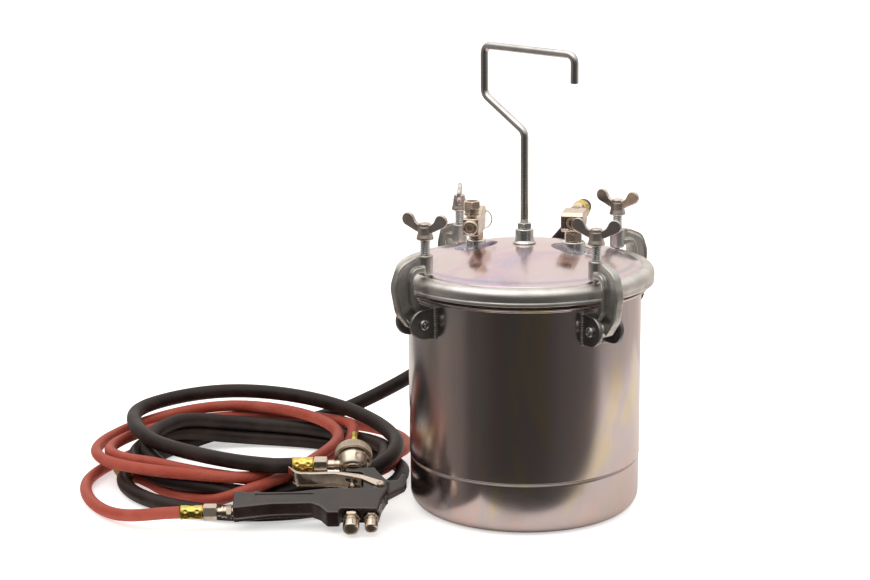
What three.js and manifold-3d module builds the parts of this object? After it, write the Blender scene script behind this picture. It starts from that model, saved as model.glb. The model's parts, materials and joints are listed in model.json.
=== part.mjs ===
// Ten-litre resin pressure pot with its fluid hose, air hose and spray gun.
// Millimetres, +Z up. The origin is the centre of the pot's base on the surface it stands on.
// X runs through the two lid fittings (air side -X, outlet side +X) and the hoses lie on the -X side.
import * as THREE from 'three';
import { mergeVertices } from 'three/addons/utils/BufferGeometryUtils.js';
import Module from 'manifold-3d';

const wasm = await Module();
wasm.setup();

// ---------------------------------------------------------------- driving dimensions
const GAP = 0.3; // clearance between pieces that touch
const ROUND = 16; // facets round a small turned piece
const TANK_FACETS = 40;

const SHEET = 1.6; // wall of shell, cup and lid
const TANK_R = 119;
const CUP_R = 118.4;
const SEAM_Z = 54; // lower edge of the shell, lapped over the cup
const LAP = 16;
const CUP_CORNER = 15;
const FOOT_IN = 94; // flat ring that the pot stands on
const BEAD_Z = 230.5;
const BEAD_R = 126;
const TANK_TOP = 246;

const LID_R = 132;
const LID_SKIRT_Z = 235;
const LID_CREST_Z = 251.9;
const LID_CREST_R = 121.5; // inner edge of the rolled rim
const DOME_EDGE_R = 116.5;
const DOME_EDGE_Z = 252.2;
const DOME_TOP_Z = 272.6;
const SEAT_Z = 262; // flat seats pressed into the dome for the outer bosses
const SEAT_R = 18;
const PORT_X = 50;

const ROD_R = 4;
const HANDLE_YAW = THREE.MathUtils.degToRad(-30);
const HANDLE_BEND = 9; // bend radius of the handle rod
const HANDLE = {
  foot: 276, elbow: 386, stepR: -53, stepZ: 420, topLeft: 470, topRight: 466, endR: 63, endZ: 438,
};

const CLAMP_NAMES = ['front_left', 'front_right', 'back_right', 'back_left'];
const CLAMP_ANGLES = [-135, -45, 45, 135];
const WING_YAWS = [-18, -12, -25, 100]; // where each wing screw happens to stand
const SCREW_RADIUS = 119.5; // circle of the clamp screws
const PIN_RADIUS = 131;
const PIN_Z = 207.5;
const PIN_R = 4;
const EAR_OUTER = 15; // half width of a bracket
const EAR_R = 15; // rounded end of an ear
const EAR_THICK = 4;
const ARM_WEB = 7;
const ARM_FLANGE = 16;
const BOSS_LOW = 254.2;
const BOSS_HIGH = 274.2;
const BOSS_R = 7.6;
const THREAD_R = 5;
const TIP_LOW = 252.4;
const TIP_HIGH = 259;
const HUB_LOW = 289;
const HUB_HIGH = 306;

const OUTLET = { bossTop: 276, nutTop: 286, blockTop: 306.5, half: 11.2, front: -12, back: 22, flow: 299.2 };
const AIR = { bossTop: 275, stemTop: 283, blockTop: 301, half: 8, front: -30, back: 12 };
const HOSE_R = 8; // fluid hose
const AIR_HOSE_R = 6.25;

const GUN_PLACE = new THREE.Vector3(-146, -156, 8.8); // tail end of the fluid knob
const GUN_YAW = THREE.MathUtils.degToRad(13);
const GUN_TILT = THREE.MathUtils.degToRad(23);

// ---------------------------------------------------------------- shape helpers
const v2 = (x, y) => new THREE.Vector2(x, y);
const v3 = (x, y, z) => new THREE.Vector3(x, y, z);
const rad = THREE.MathUtils.degToRad;

function signedVolume(geometry) {
  const p = geometry.attributes.position;
  const index = geometry.index;
  const [a, b, c] = [v3(0, 0, 0), v3(0, 0, 0), v3(0, 0, 0)];
  let sum = 0;
  for (let i = 0; i < index.count; i += 3) {
    a.fromBufferAttribute(p, index.getX(i));
    b.fromBufferAttribute(p, index.getX(i + 1));
    c.fromBufferAttribute(p, index.getX(i + 2));
    sum += a.dot(b.cross(c)) / 6;
  }
  return sum;
}

// Keeps only positions, shares the vertices, drops flat triangles and turns the faces outwards.
function closed(source) {
  const bare = new THREE.BufferGeometry();
  bare.setAttribute('position', source.attributes.position.clone());
  if (source.index) bare.setIndex(source.index.clone());
  const merged = mergeVertices(bare, 1e-4);
  const old = merged.index.array;
  const kept = [];
  for (let i = 0; i < old.length; i += 3) {
    const [a, b, c] = [old[i], old[i + 1], old[i + 2]];
    if (a !== b && b !== c && c !== a) kept.push(a, b, c);
  }
  merged.setIndex(kept);
  if (signedVolume(merged) < 0) {
    const flipped = [];
    for (let i = 0; i < kept.length; i += 3) flipped.push(kept[i], kept[i + 2], kept[i + 1]);
    merged.setIndex(flipped);
  }
  return merged;
}

function toSolid(geometry) {
  const g = closed(geometry);
  const vertProperties = new Float32Array(g.attributes.position.array);
  const triVerts = new Uint32Array(g.index.array);
  return new wasm.Manifold(new wasm.Mesh({ numProp: 3, vertProperties, triVerts }));
}

function toGeometry(solid) {
  const mesh = solid.getMesh();
  const g = new THREE.BufferGeometry();
  g.setAttribute('position', new THREE.BufferAttribute(new Float32Array(mesh.vertProperties), 3));
  g.setIndex(new THREE.BufferAttribute(new Uint32Array(mesh.triVerts), 1));
  return closed(g);
}

function join(...parts) {
  return toGeometry(parts.map(toSolid).reduce((whole, part) => whole.add(part)));
}

function cut(body, ...tools) {
  return toGeometry(tools.map(toSolid).reduce((whole, tool) => whole.subtract(tool), toSolid(body)));
}

// Turned piece about Z from [radius, height] pairs.
function turned(profile, facets = ROUND) {
  const points = profile.map(([r, z]) => v2(r, z));
  return closed(new THREE.LatheGeometry(points, facets).rotateX(Math.PI / 2));
}

// A ring whose section is the closed outline of [radius, height] pairs.
const ring = (profile, facets = ROUND) => turned([...profile, profile[0]], facets);

const rod = (r, z0, z1, facets = ROUND) => turned([[0, z0], [r, z0], [r, z1], [0, z1]], facets);

const sleeve = (inner, outer, z0, z1, facets = ROUND) =>
  ring([[inner, z0], [outer, z0], [outer, z1], [inner, z1]], facets);

// Hexagonal bar along Z, measured across its flats.
const hexBar = (flats, z0, z1) => rod(flats / Math.sqrt(3), z0, z1, 6);

// Plate in the XY plane between two heights.
function plate(shape, z0, z1, curveSegments = 4) {
  const options = { depth: z1 - z0, bevelEnabled: false, curveSegments };
  return closed(new THREE.ExtrudeGeometry(shape, options).translate(0, 0, z0));
}

function outline(points) {
  return new THREE.Shape(points.map(([x, y]) => v2(x, y)));
}

// Plate drawn in (radius, height) and standing in the XZ plane, centred on Y = 0.
function standing(shape, width, curveSegments = 4) {
  return plate(shape, -width / 2, width / 2, curveSegments).rotateX(Math.PI / 2);
}

const box = (x0, x1, y0, y1, z0, z1) => closed(
  new THREE.BoxGeometry(x1 - x0, y1 - y0, z1 - z0).translate((x0 + x1) / 2, (y0 + y1) / 2, (z0 + z1) / 2),
);

const alongY = (geometry) => geometry.rotateX(-Math.PI / 2);
const alongX = (geometry) => geometry.rotateY(Math.PI / 2);
const moved = (geometry, x, y, z) => geometry.translate(x, y, z);

// Round bar or hose swept along a curve.
function swept(curve, radius, sides, steps) {
  const section = new THREE.Shape();
  for (let i = 0; i < sides; i += 1) {
    const a = (i / sides) * 2 * Math.PI;
    if (i === 0) section.moveTo(radius, 0);
    else section.lineTo(radius * Math.cos(a), radius * Math.sin(a));
  }
  return closed(new THREE.ExtrudeGeometry(section, { steps, extrudePath: curve, curveSegments: 1 }));
}

const hose = (points, radius, steps) =>
  swept(new THREE.CatmullRomCurve3(points.map((p) => v3(...p)), false, 'centripetal'), radius, 8, steps);

// Corners of a polyline rounded with quadratic bends.
function bentPath(corners, bend) {
  const path = new THREE.CurvePath();
  let from = corners[0];
  for (let i = 1; i < corners.length - 1; i += 1) {
    const back = corners[i - 1].clone().sub(corners[i]).normalize().multiplyScalar(bend).add(corners[i]);
    const on = corners[i + 1].clone().sub(corners[i]).normalize().multiplyScalar(bend).add(corners[i]);
    path.add(new THREE.LineCurve3(from, back));
    path.add(new THREE.QuadraticBezierCurve3(back, corners[i], on));
    from = on;
  }
  path.add(new THREE.LineCurve3(from, corners[corners.length - 1]));
  return path;
}

// ---------------------------------------------------------------- finishes
const finish = (color, metalness, roughness) =>
  new THREE.MeshStandardMaterial({ color, metalness, roughness });
const ZINC = finish(0xb9b4b8, 0.9, 0.3);
const LID_ZINC = finish(0xd3bcc6, 0.9, 0.28);
const CAST = finish(0x8d918a, 0.85, 0.5);
const DARK_STEEL = finish(0x5f6266, 0.85, 0.4);
const SCREW_ZINC = finish(0xa9b4b6, 0.9, 0.35);
const NICKEL = finish(0xd9c8b6, 0.95, 0.22);
const BRASS = finish(0xd9b23c, 0.95, 0.28);
const RUBBER = finish(0x2a2624, 0.0, 0.75);
const RED_RUBBER = finish(0xa04a3c, 0.0, 0.6);
const BLACK_CAST = finish(0x231e1f, 0.1, 0.25);
const NITRILE = finish(0x1c1c1c, 0.0, 0.8);

const group = new THREE.Group();
function add(name, geometry, material, parent = group) {
  const mesh = new THREE.Mesh(geometry, material);
  mesh.name = name;
  parent.add(mesh);
  return mesh;
}

// ---------------------------------------------------------------- tank
function arcProfile(cr, cz, r, from, to, count) {
  return Array.from({ length: count + 1 }, (_, i) => {
    const a = rad(from + ((to - from) * i) / count);
    return [cr + r * Math.cos(a), cz + r * Math.sin(a)];
  });
}

function tankShell() {
  const inner = TANK_R - SHEET;
  return ring([
    [inner, SEAM_Z], [TANK_R, SEAM_Z], [TANK_R, BEAD_Z - 3.5], [BEAD_R - 1, BEAD_Z - 1.6], [BEAD_R, BEAD_Z],
    [BEAD_R - 1, BEAD_Z + 1.6], [TANK_R, BEAD_Z + 2.8], [TANK_R, TANK_TOP], [inner, TANK_TOP],
  ], TANK_FACETS);
}

// Drawn cup: a flat foot ring round a raised centre, a round corner and a joggled edge inside the shell.
function bottomCup() {
  const lapR = TANK_R - SHEET - GAP;
  const cornerR = CUP_R - CUP_CORNER;
  const outside = [
    [0, 3], [FOOT_IN - 10, 3], [FOOT_IN, 0], [cornerR, 0],
    ...arcProfile(cornerR, CUP_CORNER, CUP_CORNER, -75, 0, 3),
    [CUP_R, SEAM_Z - 2.4], [lapR, SEAM_Z - 0.6], [lapR, SEAM_Z + LAP],
  ];
  const inside = [
    [lapR - SHEET, SEAM_Z + LAP], [lapR - SHEET, SEAM_Z - 1], [CUP_R - SHEET, SEAM_Z - 3.2],
    ...arcProfile(cornerR, CUP_CORNER, CUP_CORNER - SHEET, 0, -75, 3),
    [cornerR, SHEET], [FOOT_IN + 0.6, SHEET], [FOOT_IN - 9.4, 3 + SHEET], [0, 3 + SHEET],
  ];
  return turned([...outside, ...inside], TANK_FACETS);
}

// Dome height at a radius from the axis, lowered by an offset for the underside.
function domeProfile(lower, fromR, toR, count) {
  const rise = DOME_TOP_Z - DOME_EDGE_Z;
  const sphere = (DOME_EDGE_R ** 2 + rise ** 2) / (2 * rise);
  return Array.from({ length: count + 1 }, (_, i) => {
    const r = fromR + ((toR - fromR) * i) / count;
    return [r, DOME_TOP_Z - lower - (sphere - Math.sqrt(sphere ** 2 - r ** 2))];
  });
}

function lid() {
  const skirtIn = LID_R - SHEET;
  const sheet = turned([
    ...domeProfile(0, 0, DOME_EDGE_R, 6),
    [118, LID_CREST_Z - 0.9], [119.4, LID_CREST_Z - 0.3], [LID_CREST_R, LID_CREST_Z],
    [LID_R - 5.5, LID_CREST_Z - 0.6], [LID_R - 1.8, LID_CREST_Z - 3.2], [LID_R, LID_CREST_Z - 7.5],
    [LID_R, LID_SKIRT_Z], [skirtIn, LID_SKIRT_Z], [skirtIn, LID_CREST_Z - 7.9],
    [LID_R - 3.1, LID_CREST_Z - 4.4], [LID_R - 6, LID_CREST_Z - 2.3], [122, LID_CREST_Z - 1.7],
    [119, LID_CREST_Z - 2], [117.4, LID_CREST_Z - 2.6],
    ...domeProfile(SHEET, DOME_EDGE_R - 1, 0, 6),
  ], TANK_FACETS);
  const seats = [-PORT_X, PORT_X].map((x) => moved(rod(SEAT_R + SHEET, SEAT_Z - SHEET, SEAT_Z + 8), x, 0, 0));
  const pockets = [-PORT_X, PORT_X].map((x) => moved(rod(SEAT_R, SEAT_Z, SEAT_Z + 30), x, 0, 0));
  const overDome = turned([...domeProfile(SHEET / 2, 0, 100, 6), [100, 300], [0, 300]], TANK_FACETS);
  const ports = [-PORT_X, PORT_X].map((x) => moved(rod(6, SEAT_Z - 9, SEAT_Z + 9, 16), x, 0, 0));
  return cut(join(sheet, ...seats.map((seat) => cut(seat, overDome))), ...pockets, ...ports);
}

add('tank_shell', tankShell(), ZINC);
add('bottom_cup', bottomCup(), ZINC);
add('lid', lid(), LID_ZINC);
add('lid_gasket', sleeve(115, 121.4, TANK_TOP + GAP, TANK_TOP + 2.9, TANK_FACETS), NITRILE);

// ---------------------------------------------------------------- lid bosses, handle, dip tube
const lidTop = DOME_TOP_Z + GAP;
const seatTop = SEAT_Z + GAP;

function weldedBoss(radius, collar, low, high, bore) {
  return ring([[bore, low], [collar, low], [collar, low + 1.2], [radius + 0.6, low + 3], [radius, low + 4.5],
    [radius, high - 1], [radius - 1, high], [bore, high]]);
}

add('lid_boss_center', cut(
  turned([[0, lidTop], [12, lidTop], [12, lidTop + 1.2], [9.9, lidTop + 3], [9.3, lidTop + 5], [9.3, 286.6],
    [8.6, 287.2], [0, 287.2]]),
  rod(ROD_R + GAP, HANDLE.foot - GAP, 300),
), SCREW_ZINC);
add('handle_jam_nut', cut(hexBar(13.4, 287.2 + GAP, 293.6), rod(ROD_R + GAP, 280, 300)), SCREW_ZINC);
const leftBoss = weldedBoss(10.3, 13, seatTop, AIR.bossTop, 6.2);
const rightBoss = weldedBoss(12, 16.5, seatTop, OUTLET.bossTop, 7.6);
add('lid_boss_left', moved(leftBoss, -PORT_X, 0, 0), SCREW_ZINC);
add('lid_boss_right', moved(rightBoss, PORT_X, 0, 0), SCREW_ZINC);

function handleRod() {
  const h = HANDLE;
  const corners = [
    v3(0, 0, h.foot), v3(0, 0, h.elbow), v3(h.stepR, 0, h.stepZ), v3(h.stepR, 0, h.topLeft),
    v3(h.endR, 0, h.topRight), v3(h.endR, 0, h.endZ),
  ];
  return swept(bentPath(corners, HANDLE_BEND), ROD_R, 10, 34);
}
add('handle_rod', handleRod(), SCREW_ZINC).rotation.z = HANDLE_YAW;

add('dip_tube', moved(sleeve(3.6, 5, 9, OUTLET.bossTop - 2, 16), PORT_X, 0, 0), ZINC);

// ---------------------------------------------------------------- outlet fitting (+X side)
const outletMid = (OUTLET.nutTop + OUTLET.blockTop) / 2;

function outletBlock() {
  const { half, front, back, nutTop, blockTop } = OUTLET;
  const low = nutTop + GAP;
  const side = outline([[front, low + 4], [front + 4, low], [half, low], [half + 6, low + 4], [back, low + 6],
    [back, blockTop], [front, blockTop]]);
  const body = standing(side, 2 * half).rotateZ(Math.PI / 2);
  const socket = alongY(rod(6.6, front - 1, front + 9)).translate(0, 0, outletMid);
  return cut(body, socket);
}
const outlet = new THREE.Group();
outlet.position.x = PORT_X;
group.add(outlet);
add('outlet_nipple', cut(
  join(rod(6.9, OUTLET.bossTop - 8, OUTLET.bossTop + 2), hexBar(16.5, OUTLET.bossTop + GAP, OUTLET.nutTop)),
  rod(5.3, OUTLET.bossTop - 9, OUTLET.bossTop - 1.5),
), NICKEL, outlet);
add('outlet_block', outletBlock(), NICKEL, outlet);
add('outlet_plug', cut(
  alongY(rod(6.3, OUTLET.front - 1.2, OUTLET.front + 8.4)),
  alongY(hexBar(6, OUTLET.front - 2, OUTLET.front + 4)),
).translate(0, 0, outletMid), DARK_STEEL, outlet);
const ferruleStart = OUTLET.back + 14 + GAP;
const FERRULE_LENGTH = 22;
const hoseNut = alongY(hexBar(17, OUTLET.back + GAP, OUTLET.back + 14));
const hoseFerrule = alongY(rod(9.2, ferruleStart, ferruleStart + FERRULE_LENGTH));
add('outlet_hose_nut', moved(hoseNut, 0, 0, OUTLET.flow), NICKEL, outlet);
add('outlet_ferrule', moved(hoseFerrule, 0, 0, OUTLET.flow), BRASS, outlet);

// ---------------------------------------------------------------- air fitting (-X side)
const airMid = (AIR.stemTop + AIR.blockTop) / 2;
const AIR_NECK = 2.2; // height of the neck under the swivel nut
const AIR_NECK_Y = AIR.front + 8;

function manifoldBlock() {
  const { half, front, back, stemTop, blockTop, bossTop } = AIR;
  const side = outline([[front, stemTop], [back - 5, stemTop], [back, stemTop + 8], [back, blockTop + 7],
    [back - 10, blockTop + 7.5], [front + 15, blockTop], [front, blockTop]]);
  const body = standing(side, 2 * half).rotateZ(Math.PI / 2);
  const stem = rod(5.9, bossTop - 8, stemTop + 2);
  const hexFoot = hexBar(13, bossTop + GAP, stemTop + 1);
  const port = alongY(rod(7.8, front - 5, front + 2)).translate(0, 0, airMid);
  const socket = alongY(hexBar(7, front - 6, front + 1)).translate(0, 0, airMid);
  const neck = moved(rod(5, blockTop - 2, blockTop + AIR_NECK), 0, AIR_NECK_Y, 0);
  return cut(join(body, stem, hexFoot, port, neck), socket);
}
const air = new THREE.Group();
air.position.x = -PORT_X;
group.add(air);
add('manifold_block', manifoldBlock(), NICKEL, air);
const topNut = join(
  rod(7.6, AIR.blockTop + AIR_NECK + GAP, AIR.blockTop + 10),
  hexBar(15.4, AIR.blockTop + 9.4, AIR.blockTop + 17),
);
add('manifold_top_nut', moved(topNut, 0, AIR_NECK_Y, 0), NICKEL, air);

// Safety valve on the back end of the manifold, pulled along Y by its ring.
const valveZ = AIR.stemTop + 16.5;
add('safety_valve_body', cut(
  alongY(join(rod(5.6, AIR.back + GAP, AIR.back + 6), hexBar(12, AIR.back + 5, AIR.back + 16))),
  alongY(rod(2.4, AIR.back + 4, AIR.back + 17)),
).translate(0, 0, valveZ), BRASS, air);
add('safety_valve_stem', cut(
  alongY(rod(2, AIR.back + 6, AIR.back + 25)),
  alongX(rod(1, -4, 4, 16)).translate(0, AIR.back + 22, 0),
).translate(0, 0, valveZ), NICKEL, air);
const PULL_R = 10;
const pullRing = add('safety_valve_ring', closed(new THREE.TorusGeometry(PULL_R, 0.6, 8, 20)), NICKEL, air);
pullRing.position.set(0, AIR.back + 22, valveZ - PULL_R);
pullRing.rotation.x = Math.PI / 2;

// ---------------------------------------------------------------- clamps
// Each clamp is drawn in the XZ plane (X is the pot's radius) and turned to its place.
const pinHole = () => alongY(rod(PIN_R + GAP, -30, 30, 16)).translate(PIN_RADIUS, 0, PIN_Z);

function bracket() {
  const shape = new THREE.Shape();
  shape.moveTo(TANK_R - 3, PIN_Z - EAR_R - 0.6);
  shape.lineTo(TANK_R + 2, PIN_Z - EAR_R - 0.6);
  shape.absarc(PIN_RADIUS, PIN_Z, EAR_R, rad(-90), rad(90), false);
  shape.lineTo(TANK_R + 2, PIN_Z + EAR_R + 0.6);
  shape.lineTo(TANK_R - 3, PIN_Z + EAR_R + 0.6);
  const between = 2 * (EAR_OUTER - EAR_THICK);
  const slot = box(TANK_R + 3.4, PIN_RADIUS + EAR_R + 5, -between / 2, between / 2, PIN_Z - 30, PIN_Z + 30);
  const tank = rod(TANK_R + GAP, PIN_Z - 40, PIN_Z + 40, 60);
  return cut(standing(shape, 2 * EAR_OUTER), slot, tank, pinHole());
}

function clampPin() {
  const end = EAR_OUTER + GAP;
  const shank = alongY(rod(PIN_R, -end - 0.5, end + 0.5));
  const head = turned([[0, end], [5.2, end], [5.2, end + 1.6], [3, end + 3], [0, end + 3]]);
  const upset = head.clone().rotateX(Math.PI);
  return moved(join(shank, alongY(head), alongY(upset)), PIN_RADIUS, 0, PIN_Z);
}

// C-shaped casting: a flat web, a wider flange along the inside of the C, the screw boss and the knuckle.
function clampArm() {
  const web = new THREE.Shape();
  web.moveTo(SCREW_RADIUS, BOSS_HIGH - 0.4);
  web.lineTo(SCREW_RADIUS, BOSS_LOW + 9);
  web.lineTo(129, 262);
  web.quadraticCurveTo(140, 262, 140.5, 250);
  web.lineTo(140.5, 240);
  web.quadraticCurveTo(139, 226, 131, 219);
  web.quadraticCurveTo(123.6, 212, 124, PIN_Z);
  web.absarc(PIN_RADIUS, PIN_Z, 7.4, rad(180), rad(330), false);
  web.quadraticCurveTo(157, 214, 158.5, 244);
  web.quadraticCurveTo(158, 272, 130, BOSS_HIGH - 0.4);
  const flange = new THREE.Shape();
  flange.moveTo(125, 257.5);
  flange.quadraticCurveTo(136.5, 258.5, 137, 248);
  flange.lineTo(137, 241);
  flange.quadraticCurveTo(136, 229, 128.5, 221.5);
  flange.lineTo(131.5, 217.5);
  flange.quadraticCurveTo(140, 226, 141.5, 240);
  flange.lineTo(141.5, 250);
  flange.quadraticCurveTo(139.5, 264, 125, 263);
  const boss = moved(rod(BOSS_R, BOSS_LOW, BOSS_HIGH), SCREW_RADIUS, 0, 0);
  const knuckle = alongY(rod(7.4, -8, 8)).translate(PIN_RADIUS, 0, PIN_Z);
  const bore = moved(rod(THREAD_R + GAP, BOSS_LOW - 5, BOSS_HIGH + 5, 20), SCREW_RADIUS, 0, 0);
  return cut(join(standing(web, ARM_WEB), standing(flange, ARM_FLANGE), boss, knuckle), bore, pinHole());
}

// Wing screw: thread, flared hub and two paddle-shaped wings.
function wingScrew() {
  const screw = turned([
    [0, TIP_HIGH + GAP], [4.2, TIP_HIGH + GAP], [THREAD_R, TIP_HIGH + 1.2], [THREAD_R, HUB_LOW],
    [8.4, HUB_LOW], [8.6, HUB_LOW + 2], [7.6, HUB_LOW + 4.5], [6.4, HUB_HIGH - 1.5], [5.4, HUB_HIGH], [0, HUB_HIGH],
  ]);
  const wing = new THREE.Shape();
  wing.moveTo(4, HUB_LOW + 7);
  wing.lineTo(14, HUB_LOW + 9);
  wing.quadraticCurveTo(25, HUB_LOW + 12, 25, HUB_LOW + 20);
  wing.quadraticCurveTo(24.5, HUB_LOW + 26.5, 18, HUB_LOW + 25.5);
  wing.quadraticCurveTo(13, HUB_LOW + 24.5, 4, HUB_HIGH - 1);
  const right = standing(wing, 4.2);
  const left = right.clone().rotateZ(Math.PI);
  return join(screw, right, closed(left));
}

const tipShape = () => turned(
  [[0, TIP_LOW], [2.4, TIP_LOW], [3.8, TIP_LOW + 1.6], [3.8, TIP_HIGH], [0, TIP_HIGH]],
);

CLAMP_NAMES.forEach((name, i) => {
  const clamp = new THREE.Group();
  clamp.rotation.z = rad(CLAMP_ANGLES[i]);
  group.add(clamp);
  add(`bracket_${name}`, bracket(), DARK_STEEL, clamp);
  add(`clamp_pin_${name}`, clampPin(), DARK_STEEL, clamp);
  add(`clamp_arm_${name}`, clampArm(), CAST, clamp);
  add(`clamp_tip_${name}`, tipShape(), SCREW_ZINC, clamp).position.x = SCREW_RADIUS;
  const screw = add(`clamp_screw_${name}`, wingScrew(), SCREW_ZINC, clamp);
  screw.position.x = SCREW_RADIUS;
  screw.rotation.z = rad(WING_YAWS[i] - CLAMP_ANGLES[i]);
});

// ---------------------------------------------------------------- spray gun
// Gun axes: +Y runs from the knobs to the nozzle, +X to the hanging lug, -X down the grip,
// +Z out of the side that faces up as it lies. The origin is the tail end of the fluid knob.
const gun = new THREE.Group();
gun.position.copy(GUN_PLACE);
gun.rotation.set(GUN_TILT, 0, GUN_YAW, 'ZYX');
group.add(gun);

const PIVOT = [28.4, 59.5];
const AIR_INLET = { y: 32, z: -2 };
const FLUID_INLET = { y: 98, z: 1 };
const FAN_KNOB_X = 20;
const NEEDLE_TAIL = 44;
const TRIGGER_TRAVEL = 6; // how far the trigger draws the needle back

// Pieces that lie along the grip, drawn about Z and laid on the air or the fluid connection.
const atAirInlet = (geometry) => moved(alongX(geometry), 0, AIR_INLET.y, AIR_INLET.z);
const atFluidInlet = (geometry) => moved(alongX(geometry), 0, FLUID_INLET.y, FLUID_INLET.z);

function gunBody() {
  const main = new THREE.Shape();
  main.moveTo(-118, 24);
  main.quadraticCurveTo(-80, 30, -40, 30);
  main.lineTo(-31, 25);
  main.lineTo(-24, 16);
  main.lineTo(-12, 16);
  main.lineTo(-11, 22);
  main.lineTo(27, 20.5);
  main.lineTo(30, 36);
  main.lineTo(36, 50);
  main.lineTo(34, 53);
  main.lineTo(-24, 53);
  main.quadraticCurveTo(-30, 48.5, -60, 48);
  main.lineTo(-90, 48);
  main.lineTo(-96, 51);
  main.lineTo(-100, 48.4);
  main.lineTo(-118, 50);
  const frontArm = outline([
    [11, 45], [36, 45], [36, 66], [26, 80], [22, 87], [-7, 87], [-7, 81], [11, 79.5],
  ]);
  const lug = outline([
    [30, 44], [36, 47], [53, 60], [55, 66], [55, 79], [50, 80], [46, 71], [36, 70], [33, 74], [28, 66],
  ]);
  const needleBore = alongY(rod(3, NEEDLE_TAIL - TRIGGER_TRAVEL - 2, 100, 16));
  const knobSeats = [alongY(rod(9.4, 10, 23)), moved(alongY(rod(7.6, 10, 23)), FAN_KNOB_X, 0, 0)];
  const inlet = atAirInlet(rod(4.95, -127, -105));
  const pivotHole = moved(rod(2.6, -20, 20), ...PIVOT, 0);
  return cut(
    join(plate(main, -10, 10), plate(frontArm, -7, 7), plate(lug, -4, 4)),
    needleBore, ...knobSeats, inlet, pivotHole,
  );
}

// Nickel-plated head with the fluid inlet pipe on the grip side.
function fluidHead() {
  const cone = alongY(turned([[0, 87.3], [11, 87.3], [14, 89], [15, 98], [17, 103], [17, 106], [0, 106]]));
  const pipe = atFluidInlet(rod(5.2, -26, -6));
  return cut(join(cone, pipe), alongY(rod(2.6, 80, 100, 16)));
}

// Retaining ring and air cap in one turned piece with two horns.
function airCap() {
  const cap = alongY(ring([
    [4.2, 106.3], [17.6, 106.3], [19.4, 107.2], [19.4, 117.6], [18.4, 118.6], [13, 118.6], [11, 120.6],
    [4.2, 120.6],
  ]));
  const horn = (side) => moved(alongY(rod(3, 118, 126, 16)), 0, 0, side * 9.5);
  return join(cap, horn(1), horn(-1));
}

// Bent strip trigger: a front plate with a flange down each side and an ear at the pivot.
function trigger() {
  const side = new THREE.Shape();
  side.moveTo(30.5, 63.4);
  side.lineTo(8, 74);
  side.lineTo(-18, 79);
  side.lineTo(-40, 78);
  side.quadraticCurveTo(-57, 78, -63.4, 87.6);
  side.lineTo(-66.4, 86.6);
  side.quadraticCurveTo(-62, 73, -45, 71.6);
  side.lineTo(-18, 72.4);
  side.lineTo(8, 66);
  side.lineTo(26, 56.4);
  side.absarc(PIVOT[0], PIVOT[1], 4, rad(-125), rad(60), false);
  const hollow = outline([[40, 40], [40, 90], [9.4, 71.8], [-18, 77.2], [-41, 76.2], [-51, 77.4], [-57, 80],
    [-62, 86.4], [-65, 92], [-72, 84], [-72, 60], [0, 40]]);
  const needleSlot = box(-7, 5, 60, 90, -2.5, 2.5);
  const pivotHole = moved(rod(2.6, -20, 20, 16), ...PIVOT, 0);
  return cut(plate(side, -8.9, 8.9), plate(hollow, -7.4, 7.4), needleSlot, pivotHole);
}

const needle = () => alongY(turned([
  [0, NEEDLE_TAIL], [2, NEEDLE_TAIL], [2, 62], [4.6, 62], [4.6, 66.5], [2, 66.5], [2, 98], [0, 98],
]));

const nozzle = () => alongY(turned([[0, 107], [3.3, 107], [3.3, 148.6], [2.6, 149.4], [0, 149.4]]));

const pivotScrew = () => moved(turned([
  [0, -10.6], [3.6, -10.6], [3.6, -9.2], [2.3, -9.2], [2.3, 9.2], [3.6, 9.2], [3.6, 10.6], [0, 10.6],
]), ...PIVOT, 0);

const knob = (r, y0, neck, x) => moved(alongY(turned([
  [0, y0], [r - 1.6, y0], [r, y0 + 1.8], [r, y0 + 15], [neck, y0 + 16], [neck, y0 + 21], [0, y0 + 21],
])), x, 0, 0);

add('gun_body', gunBody(), BLACK_CAST, gun);
add('gun_fluid_head', fluidHead(), NICKEL, gun);
add('gun_air_cap', airCap(), NICKEL, gun);
add('gun_fluid_nozzle', nozzle(), BRASS, gun);
add('gun_trigger', trigger(), NICKEL, gun);
add('gun_trigger_pivot', pivotScrew(), NICKEL, gun);
add('gun_needle', needle(), NICKEL, gun);
add('gun_fluid_knob', knob(8.2, 0, 6.4, 0), NICKEL, gun);
add('gun_fan_knob', knob(6.6, 1.2, 5.2, FAN_KNOB_X), NICKEL, gun);
const airInlet = join(rod(4.7, -120, -109), hexBar(13, -130, -119.3), rod(4.4, -134, -129));
add('gun_air_inlet', atAirInlet(airInlet), NICKEL, gun);
add('air_hose_nut', atAirInlet(hexBar(14.5, -148, -134.3)), NICKEL, gun);
add('air_hose_ferrule', atAirInlet(rod(7.6, -171, -148.3)), BRASS, gun);
add('fluid_hose_nut', atFluidInlet(hexBar(15.5, -40, -26.3)), NICKEL, gun);
add('fluid_hose_ferrule', atFluidInlet(rod(8.9, -62.5, -40.3)), BRASS, gun);

// ---------------------------------------------------------------- hoses
// The fluid hose leaves the outlet ferrule, drops behind the pot and is wound into the lower coil;
// its last stretch rises from the coil to the gun. The air hose is wound on top of it, between the
// gun and its own supply end. Each coil is the space that its turns fill.
const FLUID_LEAD = [
  [50, 58.7, 299.2], [50, 70, 299], [49, 88, 295.5], [43, 110, 285.5], [28, 135, 265], [4, 157, 236.5],
  [-26, 173, 203], [-58, 183, 168], [-92, 188, 134], [-126, 188, 102], [-166, 184, 73], [-204, 179, 52], [-240, 173, 34],
];
const FLUID_END = [
  [-376, -84.5, 44], [-345, -89.5, 46.5], [-304, -92.5, 48], [-260, -90, 48], [-227.5, -82.7, 48],
];
const AIR_TAIL = [
  [-319.9, -165.1, 19.5], [-339.5, -169.6, 18.6], [-368, -167, 13.2], [-400, -150, 7.8], [-430, -122, 6.5],
  [-453, -88, 6.5], [-467, -50, 6.5], [-466, -10, 6.5],
];
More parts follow.
